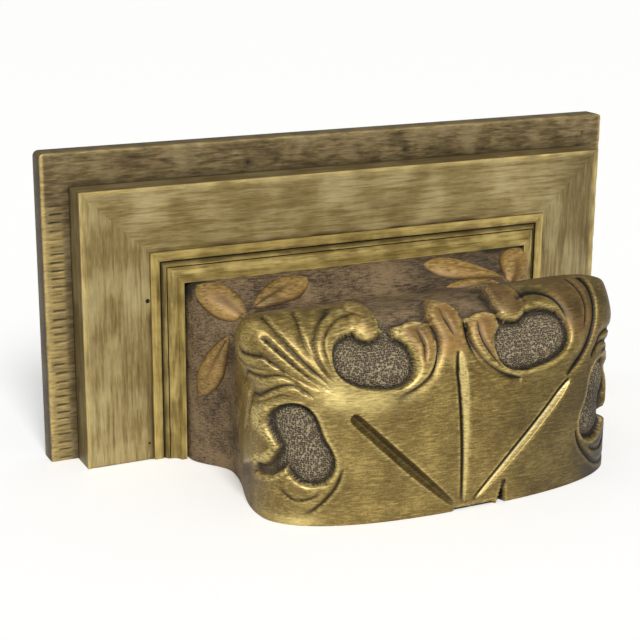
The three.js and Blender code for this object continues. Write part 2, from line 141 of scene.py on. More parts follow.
def add_node(
    tree: bpy.types.NodeTree,
    kind: Kind,
    links: dict | None = None,
    output: int | str = 0,
    stops: tuple[tuple[float, str], ...] = (),
    **settings: object,
) -> Socket:
    """Adds one shader node with its settings and links.

    Args:
        tree: The material's node tree.
        kind: The node's kind.
        links: Input name or number to an output socket, or to a plain value.
        output: Name or number of the output that is wanted.
        stops: Position and sRGB hex colour of each stop of a colour ramp.
        **settings: Attributes of the node.

    Returns:
        The wanted output's socket.
    """
    node = tree.nodes.new(kind.value)
    for name, value in settings.items():
        setattr(node, name, value)
    for index, (position, colour) in enumerate(stops):
        elements = node.color_ramp.elements
        element = elements[index] if index < len(elements) else elements.new(position)
        element.position = position
        element.color = linear(colour)
    for name, value in (links or {}).items():
        if isinstance(value, Socket):
            tree.links.new(value, node.inputs[name])
        else:
            node.inputs[name].default_value = value
    return node.outputs[output]


@dataclass(frozen=True)
class Pattern:
    """Uneven spots of a real size, drawn out along the axes where stretch is less than 1.

    detail is how many finer layers the spots have, and roughness how strong those are.
    """

    size_mm: float
    stretch: tuple[float, ...] = (1.0, 1.0, 1.0)
    detail: float = 5.0
    roughness: float = 0.5

    def build(self, tree: bpy.types.NodeTree) -> Socket:
        """Adds the pattern, laid over the piece by its Object coordinates.

        Args:
            tree: The material's node tree.

        Returns:
            The pattern's socket, from 0 to 1.
        """
        place = add_node(tree, Kind.COORDINATES, output="Object")
        drawn = add_node(tree, Kind.MAPPING, {"Vector": place, "Scale": self.stretch})
        links = {
            "Vector": drawn,
            "Scale": 1.0 / (self.size_mm * MM),
            "Detail": self.detail,
            "Roughness": self.roughness,
        }
        return add_node(tree, Kind.NOISE, links)


@dataclass(frozen=True)
class Gilding:
    """Bronze-gold paint rubbed over wood and toned with a brown glaze.

    The metal flakes in the paint give a broken satin gloss, strokes that follow the wood show
    as fine light and dark lines, glazing and dirt darken the hollows, painted shade darkens the
    side faces, the quirks, the feet, the corners by the frame and the far right, and handling
    has worn the arrises bright. dark, middle and light are the paint's own tones, pale is where
    it has dried out, hollow is the colour of the glazing, the dirt and the painted shade, and
    worn the bare metal of the arrises. The sizes in millimetres are the widths of the strokes,
    of the cloudy blotches and of the fine mottle, and the lengths say how many times longer
    than wide they are. The three shares say how much the strokes, the blotches and the mottle
    count in the paint's tone.
    """

    name: str
    dark: str
    middle: str
    light: str
    glaze_dirt_and_shade: str
    worn: str
    pale: str
    stroke_mm: float
    stroke_length: float
    blotch_mm: float
    metallic: float
    roughness: float
    stroke_depth_mm: float
    contrast: float = 1.0
    mottle_mm: float = 1.9
    mottle_length: float = 7.0
    shares: tuple[float, float, float] = (0.42, 0.26, 0.32)
    dried: float = 0.55

    def build(self, along: Axis) -> bpy.types.Material:
        """Makes the material for a piece whose wood runs one way.

        Args:
            along: The way the wood and its brush strokes run.

        Returns:
            The material.
        """
        material = bpy.data.materials.new(f"{self.name} {along.name.lower()}")
        material.use_nodes = True
        tree = material.node_tree
        strokes = Pattern(self.stroke_mm, along.drawn_out(self.stroke_length), 5.0, 0.65).build(tree)
        blotches = Pattern(self.blotch_mm, detail=4.0).build(tree)
        mottle = Pattern(self.mottle_mm, along.drawn_out(self.mottle_length), 6.0).build(tree)
        paint = self.paint(tree, strokes, blotches, mottle)

        # Glazing, dirt and painted shade where the shade layer says, and glazing in a few specks
        # of the strokes
        shade = add_node(tree, Kind.ATTRIBUTE, output="Fac", attribute_name=Layer.SHADE.value)
        links = {0: mottle, 1: 6.0, 2: -3.4}
        specks = add_node(tree, Kind.MATH, links, operation="MULTIPLY_ADD", use_clamp=True)
        specks = add_node(tree, Kind.MATH, {0: specks, 1: strokes}, operation="MULTIPLY")
        links = {0: shade, 1: specks}
        glaze_dirt_and_shade = add_node(tree, Kind.MATH, links, operation="MAXIMUM", use_clamp=True)
        links = {0: glaze_dirt_and_shade, 6: paint, 7: linear(self.glaze_dirt_and_shade)}
        glazed = add_node(tree, Kind.MIX, links, 2, data_type="RGBA")

        # Arrises rubbed bright, broken up by the strokes
        wear = add_node(tree, Kind.ATTRIBUTE, output="Fac", attribute_name=Layer.WEAR.value)
        links = {0: strokes, 1: 1.6, 2: -0.15}
        broken = add_node(tree, Kind.MATH, links, operation="MULTIPLY_ADD", use_clamp=True)
        rubbed = add_node(tree, Kind.MATH, {0: wear, 1: broken}, operation="MULTIPLY")
        links = {0: rubbed, 6: glazed, 7: linear(self.worn)}
        colour = add_node(tree, Kind.MIX, links, 2, data_type="RGBA")

        # The strokes vary the gloss by a fifth, and rubbed places shine more
        links = {0: strokes, 1: 0.22, 2: self.roughness - 0.11}
        gloss = add_node(tree, Kind.MATH, links, operation="MULTIPLY_ADD")
        links = {0: rubbed, 1: -0.14, 2: gloss}
        gloss = add_node(tree, Kind.MATH, links, operation="MULTIPLY_ADD")
        links = {"Height": strokes, "Distance": self.stroke_depth_mm * MM, "Strength": 0.7}
        relief = add_node(tree, Kind.BUMP, links)

        shader = tree.nodes["Principled BSDF"]
        shader.inputs["Metallic"].default_value = self.metallic
        for name, socket in (("Base Color", colour), ("Roughness", gloss), ("Normal", relief)):
            tree.links.new(socket, shader.inputs[name])
        return material

    def paint(
        self, tree: bpy.types.NodeTree, strokes: Socket, blotches: Socket, mottle: Socket
    ) -> Socket:
        """Adds the paint's own colour, before glaze and wear.

        Args:
            tree: The material's node tree.
            strokes: The brush strokes' pattern.
            blotches: The cloudy blotches' pattern.
            mottle: The fine mottle's pattern.

        Returns:
            The colour's socket.
        """
        body = add_node(tree, Kind.MATH, {0: blotches, 1: self.shares[1]}, operation="MULTIPLY")
        for part, share in ((strokes, self.shares[0]), (mottle, self.shares[2])):
            body = add_node(tree, Kind.MATH, {0: part, 1: share, 2: body}, operation="MULTIPLY_ADD")
        body = add_node(tree, Kind.MATH, {0: body, 1: 0.5}, operation="SUBTRACT")
        links = {0: body, 1: 2.4 * self.contrast, 2: 0.5}
        tone = add_node(tree, Kind.MATH, links, operation="MULTIPLY_ADD", use_clamp=True)
        stops = ((0.0, self.dark), (0.5, self.middle), (1.0, self.light))
        colour = add_node(tree, Kind.RAMP, {0: tone}, stops=stops)

        links = {0: blotches, 1: 3.5, 2: -2.8}
        dry = add_node(tree, Kind.MATH, links, operation="MULTIPLY_ADD")
        links = {0: mottle, 1: 2.5, 2: dry}
        dry = add_node(tree, Kind.MATH, links, operation="MULTIPLY_ADD", use_clamp=True)
        dry = add_node(tree, Kind.MATH, {0: dry, 1: self.dried}, operation="MULTIPLY")
        links = {0: dry, 6: colour, 7: linear(self.pale)}
        return add_node(tree, Kind.MIX, links, 2, data_type="RGBA")


@dataclass(frozen=True)
class CarvedGilding:
    """The carved block's finish: olive bronze-gold, worn and painted-bright ridges, punched ground.

    The raised field is brushed gold, the leaves are smoother and warmer, the sunk ground is
    grey-brown and pricked all over with a round punch, and brown glazing with painted shade
    fills every cut and darkens the right. Wear and painted highlights brighten the ridges,
    and painted highlights the glows and some gouge walls. Each pair or row of colours runs
    from dark to light. brush holds the bristle marks, drawn a little coarser than real ones so
    that they show, scratch the long fine scores, blotches the uneven glazing and grains the
    flakes of the paint. punch_mm is the width of a mark.
    """

    name: str = "gilded carving"
    field: tuple[str, str, str] = ("#54431d", "#7a6634", "#a89152")
    leaf: tuple[str, str] = ("#553d17", "#8e6b34")
    ground: tuple[str, str] = ("#382d1e", "#98896b")
    side: tuple[str, str] = ("#352615", "#7a6547")
    # Near-black of the glazing and the painted shade in the cuts and on the right
    cut: str = "#1a1308"
    # Gold of the worn ridges and of the painted highlights
    worn_and_highlight_gold: str = "#f2da8c"
    brush: Pattern = Pattern(0.65, (0.16, 0.35, 1.0))
    scratch: Pattern = Pattern(0.45, (0.05, 0.12, 0.6), 2.0)
    blotches: Pattern = Pattern(17.0)
    grains: Pattern = Pattern(0.8, detail=3.0)
    punch_mm: float = 0.95
    punch_depth_mm: float = 0.5
    brush_depth_mm: float = 0.14

    def build(self) -> bpy.types.Material:
        """Makes the material.

        Returns:
            The material.
        """
        material = bpy.data.materials.new(self.name)
        material.use_nodes = True
        tree = material.node_tree
        made = {
            "brush": self.brush.build(tree),
            "scratch": self.scratch.build(tree),
            "blotches": self.blotches.build(tree),
            "grains": self.grains.build(tree),
            "dots": self.punched(tree),
        }
        for layer in (Layer.GROUND, Layer.LEAF, Layer.RELIEF, Layer.BURNISH, Layer.SHADE):
            made[layer] = add_node(tree, Kind.ATTRIBUTE, output="Fac", attribute_name=layer.value)
        toned = self.toned(tree, made)
        # Worn ridges and painted highlights in the gold colour
        bright = self.bright(tree, made)
        links = {0: bright, 6: toned, 7: linear(self.worn_and_highlight_gold)}
        colour = add_node(tree, Kind.MIX, links, 2, data_type="RGBA")

        # The ground and the sides are duller than the field, and the worn ridges and painted
        # highlights glossier
        links = {0: made[Layer.GROUND], 1: made[Layer.SHADE]}
        dull = add_node(tree, Kind.MATH, links, operation="MAXIMUM")
        links = {0: made["brush"], 1: 0.3, 2: 0.3}
        gloss = add_node(tree, Kind.MATH, links, operation="MULTIPLY_ADD")
        gloss = self.shifted(tree, gloss, ((dull, 0.3), (made[Layer.LEAF], 0.12), (bright, -0.1)))
        links = {0: dull, 1: -0.45, 2: 0.55}
        metal = add_node(tree, Kind.MATH, links, operation="MULTIPLY_ADD")
        metal = self.shifted(tree, metal, ((made[Layer.LEAF], -0.3), (bright, -0.15)))

        shader = tree.nodes["Principled BSDF"]
        ends = {"Base Color": colour, "Roughness": gloss, "Metallic": metal}
        ends["Normal"] = self.marks(tree, made)
        for name, socket in ends.items():
            tree.links.new(socket, shader.inputs[name])
        return material

    def shifted(
        self, tree: bpy.types.NodeTree, value: Socket, shifts: tuple[tuple[Socket, float], ...]
    ) -> Socket:
        """Shifts a value by shares of other measures, the last time kept between 0 and 1.

        Args:
            tree: The material's node tree.
            value: The value's socket.
            shifts: Each measure and how far it shifts the value where it is 1.

        Returns:
            The shifted value's socket.
        """
        for index, (measure, amount) in enumerate(shifts):
            last = index == len(shifts) - 1
            links = {0: measure, 1: amount, 2: value}
            value = add_node(tree, Kind.MATH, links, operation="MULTIPLY_ADD", use_clamp=last)
        return value

    def punched(self, tree: bpy.types.NodeTree) -> Socket:
        """Adds the round punch marks of the ground.

        Args:
            tree: The material's node tree.

        Returns:
            The pattern's socket, 0 in a mark and 1 on the net between.
        """
        place = add_node(tree, Kind.COORDINATES, output="Object")
        links = {"Vector": place, "Scale": 1.0 / (self.punch_mm * MM), "Randomness": 0.6}
        away = add_node(tree, Kind.VORONOI, links, "Distance", feature="F1")
        links = {0: away, 1: 2.8, 2: -1.05}
        return add_node(tree, Kind.MATH, links, operation="MULTIPLY_ADD", use_clamp=True)

    def marks(self, tree: bpy.types.NodeTree, made: dict) -> Socket:
        """Adds the brush marks' and the punch marks' depth.

        Args:
            tree: The material's node tree.
            made: Sockets of the patterns and the surface measures.

        Returns:
            The socket of the surface's direction.
        """
        marks = add_node(tree, Kind.MATH, {0: made["grains"], 1: 0.5}, operation="MULTIPLY")
        links = {0: made["scratch"], 1: 0.6, 2: marks}
        marks = add_node(tree, Kind.MATH, links, operation="MULTIPLY_ADD")
        marks = add_node(tree, Kind.MATH, {0: marks, 1: made["brush"]}, operation="ADD")
        links = {"Height": marks, "Distance": self.brush_depth_mm * MM, "Strength": 0.8}
        brushed = add_node(tree, Kind.BUMP, links)
        links = {0: made["dots"], 1: made[Layer.GROUND]}
        pricks = add_node(tree, Kind.MATH, links, operation="MULTIPLY")
        links = {
            "Height": pricks,
            "Distance": self.punch_depth_mm * MM,
            "Strength": 0.9,
            "Normal": brushed,
        }
        return add_node(tree, Kind.BUMP, links)

    def toned(self, tree: bpy.types.NodeTree, made: dict) -> Socket:
        """Adds the colours of the field, leaves, sides, ground and cuts.

        Args:
            tree: The material's node tree.
            made: Sockets of the patterns and the surface measures.

        Returns:
            The colour's socket.
        """
        mixed = add_node(tree, Kind.MATH, {0: made["blotches"], 1: 0.36}, operation="MULTIPLY")
        for name, share in (("brush", 0.4), ("grains", 0.24)):
            links = {0: made[name], 1: share, 2: mixed}
            mixed = add_node(tree, Kind.MATH, links, operation="MULTIPLY_ADD")
        tone = add_node(tree, Kind.MATH, {0: mixed, 1: 3.4, 2: -1.2}, operation="MULTIPLY_ADD")
        links = {0: made["scratch"], 1: 4.0, 2: -2.25}
        fine = add_node(tree, Kind.MATH, links, operation="MULTIPLY_ADD", use_clamp=True)
        links = {0: fine, 1: 0.5, 2: tone}
        tone = add_node(tree, Kind.MATH, links, operation="MULTIPLY_ADD", use_clamp=True)
        field = add_node(tree, Kind.RAMP, {0: tone}, stops=tuple(zip((0.0, 0.5, 1.0), self.field)))

        leaf = add_node(tree, Kind.MATH, {0: made["blotches"], 1: 0.6}, operation="MULTIPLY")
        leaf = add_node(tree, Kind.MATH, {0: tone, 1: 0.4, 2: leaf}, operation="MULTIPLY_ADD")
        leaf = add_node(tree, Kind.RAMP, {0: leaf}, stops=tuple(zip((0.25, 0.7), self.leaf)))
        links = {0: mixed, 1: 6.5, 2: -2.75}
        side = add_node(tree, Kind.MATH, links, operation="MULTIPLY_ADD", use_clamp=True)
        side = add_node(tree, Kind.RAMP, {0: side}, stops=tuple(zip((0.0, 1.0), self.side)))
        stops = tuple(zip((0.0, 0.9), self.ground))
        ground = add_node(tree, Kind.RAMP, {0: made["dots"]}, stops=stops)
        # Low relief takes the cut colour: glazing, crack stains and painted shade
        links = {0: made[Layer.RELIEF], 1: -1.1}
        glaze_dirt_and_shade = add_node(tree, Kind.MATH, links, operation="MULTIPLY", use_clamp=True)

        colour = field
        for where, laid in (
            (made[Layer.LEAF], leaf),
            (made[Layer.SHADE], side),
            (made[Layer.GROUND], ground),
            (glaze_dirt_and_shade, linear(self.cut)),
        ):
            colour = add_node(tree, Kind.MIX, {0: where, 6: colour, 7: laid}, 2, data_type="RGBA")
        return colour

    def bright(self, tree: bpy.types.NodeTree, made: dict) -> Socket:
        """Adds the brightness of the worn ridges and of the painted highlights.

        Args:
            tree: The material's node tree.
            made: Sockets of the patterns and the surface measures.

        Returns:
            The socket of a share from 0 to 1.
        """
        brush = made["brush"]
        links = {0: brush, 1: 2.4, 2: -0.8}
        worn = add_node(tree, Kind.MATH, links, operation="MULTIPLY_ADD", use_clamp=True)
        # Ridges, from the relief layer: rubbed wear with painted highlight
        links = {0: made[Layer.RELIEF], 1: 0.75}
        ridge = add_node(tree, Kind.MATH, links, operation="MULTIPLY", use_clamp=True)
        ridge = add_node(tree, Kind.MATH, {0: ridge, 1: worn}, operation="MULTIPLY")
        off_ground = add_node(tree, Kind.MATH, {0: 1.0, 1: made[Layer.GROUND]}, operation="SUBTRACT")
        ridge = add_node(tree, Kind.MATH, {0: ridge, 1: off_ground}, operation="MULTIPLY")
        # Painted highlights: the glows and the bright gouge walls, broken up by the brush
        links = {0: brush, 1: 1.5}
        rubbed = add_node(tree, Kind.MATH, links, operation="MULTIPLY", use_clamp=True)
        links = {0: made[Layer.BURNISH], 1: rubbed}
        shine = add_node(tree, Kind.MATH, links, operation="MULTIPLY")
        return add_node(tree, Kind.MATH, {0: shine, 1: ridge}, operation="MAXIMUM")


# Bronze paint on sawn wood, rubbed thin: dull and blotchy, with strokes too coarse to hide the
# wood, dark dirt in the saw marks, painted shade on the side faces and in the corner by the
# frame, and bright metal on the arrises
BOARD_FINISH = Gilding(
    name="rubbed bronze paint on board",
    dark="#3d3016",
    middle="#6b5a37",
    light="#9c8a61",
    glaze_dirt_and_shade="#221a0c",
    worn="#cdb26c",
    pale="#857450",
    stroke_mm=1.0,
    stroke_length=6.0,
    blotch_mm=14.0,
    metallic=0.35,
    roughness=0.55,
    stroke_depth_mm=0.25,
    contrast=1.6,
)

# Bronze paint brushed along planed wood: a satin face with fine pale streaks that follow each
# length, so that the mitres show as a change of their way. Dark painted shade lies on the
# outer sides, at the foot and towards the right, and dirt on the inner edge
FRAME_FINISH = Gilding(
    name="brushed bronze paint on frame",
    dark="#5c4a24",
    middle="#897646",
    light="#b09d6c",
    glaze_dirt_and_shade="#2e1e0c",
    worn="#e0c67c",
    pale="#bfb07e",
    stroke_mm=0.8,
    stroke_length=11.0,
    blotch_mm=26.0,
    metallic=0.38,
    roughness=0.5,
    stroke_depth_mm=0.15,
    contrast=1.3,
    mottle_length=15.0,
)

# The brightest bronze paint, on the narrow steps: glossier and yellower, with long strokes,
# almost black painted shade in the quirks and painted shade towards the right
MOULDING_FINISH = Gilding(
    name="bright bronze paint on moulding",
    dark="#5a471a",
    middle="#8a763e",
    light="#b9a35e",
    glaze_dirt_and_shade="#241a08",
    worn="#e2c676",
    pale="#c0aa68",
    stroke_mm=0.9,
    stroke_length=16.0,
    blotch_mm=12.0,
    metallic=0.42,
    roughness=0.45,
    stroke_depth_mm=0.12,
    contrast=1.4,
)

# Gilding on carved wood: broken, burnished highlights over a dark olive gold, matt pricked
# ground and black cuts, which make the relief read from afar
CARVING_FINISH = CarvedGilding()


def publish(
    bm: bmesh.types.BMesh,
    name: str,
    node: str,
    material: bpy.types.Material,
    sharp_degrees: float = 40.0,
) -> bpy.types.Object:
    """Turns a bmesh in metres into a finished piece that stands for a node.

    Args:
        bm: The piece, closed, with its place in its vertices. It is freed.
        name: The piece's name.
        node: The node that the piece replaces.
        material: The piece's material.
        sharp_degrees: Edges that turn by more than this stay sharp.

    Returns:
        The new object.
    """
    bmesh.ops.recalc_face_normals(bm, faces=bm.faces)
    for face in bm.faces:
        face.smooth = True
    limit = math.radians(sharp_degrees)
    for edge in bm.edges:
        edge.smooth = len(edge.link_faces) == 2 and edge.calc_face_angle(0.0) < limit
    mesh = bpy.data.meshes.new(name)
    bm.to_mesh(mesh)
    bm.free()
    mesh.materials.append(material)
    piece = bpy.data.objects.new(name, mesh)
    bpy.context.scene.collection.objects.link(piece)
    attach(piece, "root")
    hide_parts(node)
    log.info("%s: %d faces for %s", name, len(mesh.polygons), node)
    return piece


def slice_along(bm: bmesh.types.BMesh, axis: int, low: float, high: float, pitch: float) -> None:
    """Cuts a body with evenly spaced planes, so that its long faces can carry detail.

    Args:
        bm: The body, in metres.
        axis: 0 for X, 2 for Z.
        low: Where the cuts start.
        high: Where they end.
        pitch: Distance between cuts.
    """
    normal = Vector((0.0, 0.0, 0.0))
    normal[axis] = 1.0
    count = int((high - low) / pitch)
    for i in range(1, count):
        place = normal * (low + (high - low) * i / count)
        everything = bm.verts[:] + bm.edges[:] + bm.faces[:]
        bmesh.ops.bisect_plane(bm, geom=everything, plane_co=place, plane_no=normal, dist=SAME_POINT)


@dataclass
class BackBoard:
    """The thin outer board, sawn and rubbed, with its arrises worn round.

    Sizes in millimetres. The front is a close grid of points, so that the saw marks on the
    left margin and the dents in the arrises are real. The margins are how much of the board
    shows beside and above the frame, saw_band is where the saw marks start and end across the
    left margin, and cross_band is where the cross rows lie below the top.
    """

    corner_radius: float = 3.0
    arris_round: float = 1.3
    dent_depth: float = 0.5
    side_margin: float = 14.0
    top_margin: float = 17.2
    pitch_across: float = 4.0
    pitch_up: float = 0.45
    saw_depth: float = 0.5
    saw_pitch: float = 4.1
    saw_band: tuple[float, float] = (3.0, 11.0)
    cross_pitch: float = 2.3
    cross_band: tuple[float, float] = (5.5, 15.5)
    # Painted shade on the board's side faces
    side_shade: float = 0.8
    back_inset: float = 0.8
    back_shade: float = 0.36

    def edge_steps(self) -> list[float]:
        """Insets at which the front is cut near an edge."""
        near = [0.0, 0.25, 0.6, 1.3, 2.4, 3.4, 4.6, 6.4, 8.2, 9.8, 11.4]
        return near + [self.side_margin - 1.0, self.side_margin]

    def build(self) -> bpy.types.Object:
        """Makes the board.

        Returns:
            The board's object.
        """
        low, high = (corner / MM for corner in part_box("back_board"))
        edge = self.edge_steps()
        middle = np.arange(low.x + edge[-1], high.x - edge[-1], self.pitch_across)[1:]
        across = [low.x] + [low.x + d for d in edge] + list(middle)
        across += [high.x - d for d in edge[::-1]] + [high.x]
        top_edge = edge[:5]
        up = list(np.arange(low.z, high.z - top_edge[-1], self.pitch_up))
        up = [low.z] + up + [high.z - d for d in top_edge[::-1]] + [high.z]
        bm = bmesh.new()
        bmesh.ops.create_grid(bm, x_segments=len(across) - 1, y_segments=len(up) - 1, size=1.0)
        wear = bm.verts.layers.float.new(Layer.WEAR.value)
        shade = bm.verts.layers.float.new(Layer.SHADE.value)
        for vert in bm.verts:
            i = round((vert.co.x + 1) / 2 * (len(across) - 1))
            j = round((vert.co.y + 1) / 2 * (len(up) - 1))
            on_rim = i in (0, len(across) - 1) or j in (0, len(up) - 1)
            place, worn, dirt_and_shade = self.surface(across[i], up[j], low, high)
            # The rim lies on the side faces, which take painted shade
            if on_rim:
                place.y = high.y
                worn, dirt_and_shade = 0.0, self.side_shade
            vert.co = place * MM
            vert[wear] = worn
            vert[shade] = dirt_and_shade
        bmesh.ops.remove_doubles(bm, verts=bm.verts, dist=SAME_POINT)
        rim = [e for e in bm.edges if e.is_boundary]
        back = bmesh.ops.contextual_create(bm, geom=rim)["faces"]
        front = set(bm.verts)
        bmesh.ops.inset_region(bm, faces=back, thickness=self.back_inset * MM, use_even_offset=True)
        for vert in set(bm.verts) - front:
            vert[shade] = self.back_shade
        material = BOARD_FINISH.build(Axis.ACROSS)
        return publish(bm, "worn_back_board", "back_board", material, 50.0)

    def surface(self, x: float, z: float, low: Vector, high: Vector) -> tuple[Vector, float, float]:
        """Works out one point of the front.

        Args:
            x: Place across.
            z: Height.
            low: Lowest corner of the board.
            high: Highest corner.

        Returns:
            The point, how worn it is, and how dark it is from dirt and painted shade.
        """
        side = min(x - low.x, high.x - x)
        top = high.z - z
        inset = min(side, top)
        fall = max(0.0, self.arris_round - inset)
        y = low.y + self.arris_round - math.sqrt(self.arris_round**2 - fall**2)
        radius = self.corner_radius
        if side < radius and top < radius:
            away = Vector((radius - side, radius - top))
            pull = max(0.0, away.length - radius)
            turn = away.normalized() * pull
            x -= math.copysign(turn.x, x)
            z -= turn.y
        bite = max(0.0, noise.noise(Vector((x, 3.0, z)) * 0.16)) * ease(2.6, 0.2, inset)
        y += bite * self.dent_depth * 1.6
        left = x - low.x
        groove = self.saw_marks(z, left, top) + self.cross_rows(x, z, left, top)
        y += min(1.2, groove) * self.saw_depth
        # Painted shade in the corner by the frame and on the side faces, dirt in the saw marks and
        # the cross rows
        joint = min(top - self.top_margin, side - self.side_margin)
        frame_corner_shade = float(ease(-5.0, -0.2, joint)) * 0.45
        on_side = self.side_shade * float(ease(0.2, 0.0, inset))
        dirt_and_shade = max(frame_corner_shade, min(1.0, groove * 1.5), on_side)
        worn = float(ease(2.6, 1.0, side) * ease(0.0, 0.5, inset)) * (0.9 - 0.8 * bite)
        worn = max(worn, float(ease(2.0, 0.6, top)) * (0.3 - 0.3 * bite))
        rubbed = 0.75 + 0.5 * noise.noise(Vector((x * 0.1, 21.0, z * 0.12)))
        left_margin = ease(12.0, 9.0, left) * ease(20.0, 50.0, top) * ease(0.0, 1.0, inset)
        worn = max(worn, 0.75 * rubbed * float(left_margin))
        worn = worn * (1 - 0.8 * min(1.0, groove))
        return Vector((x, y, z)), worn, dirt_and_shade

    def saw_marks(self, z: float, left: float, top: float) -> float:
        """Says how deep the saw marks of the left margin are, coarse ones with fine between.

        Args:
            z: Height.
            left: Distance in from the left edge.
            top: Distance below the top edge.

        Returns:
            A share of the full depth, nought between the marks.
        """
        start, end = self.saw_band
        beat = z / self.saw_pitch + 0.35 * noise.noise(Vector((1.0, 7.0, z * 0.09)))
        tooth = max(0.0, math.cos(math.tau * beat)) ** 3
        tooth += 0.4 * max(0.0, math.cos(math.tau * (2 * beat + 0.2))) ** 3
        strength = 0.9 + 0.9 * noise.noise(Vector((5.0, 11.0, z * 0.07)))
        wander = 1.4 * noise.noise(Vector((2.0, 17.0, z * 0.3)))
        reach = ease(end, end - 1.5, left + wander) * ease(start, start + 1.6, left + wander)
        reach = reach * ease(0.0, 14.0, top - self.top_margin)
        return float(reach) * tooth * max(0.0, strength)

    def cross_rows(self, x: float, z: float, left: float, top: float) -> float:
        """Says how deep the faint cross rows of the top margin are.

        Args:
            x: Place across.
            z: Height.
            left: Distance in from the left edge.
            top: Distance below the top edge.

        Returns:
            A share of the full depth, nought between the rows.
        """
        start, end = self.cross_band
        drift = 2.0 * noise.noise(Vector((x * 0.1, 2.0, 0.0)))
        rows = max(0.0, math.cos(math.tau * x / self.cross_pitch + drift)) ** 4
        band = ease(end, end - 3.5, top) * ease(start, start + 3.5, top) * ease(6.0, 30.0, left)
        faded = max(0.0, 0.3 + noise.noise(Vector((x * 0.05, 4.0, z * 0.2))) * 2.0)
        return float(band) * rows * 0.55 * faded


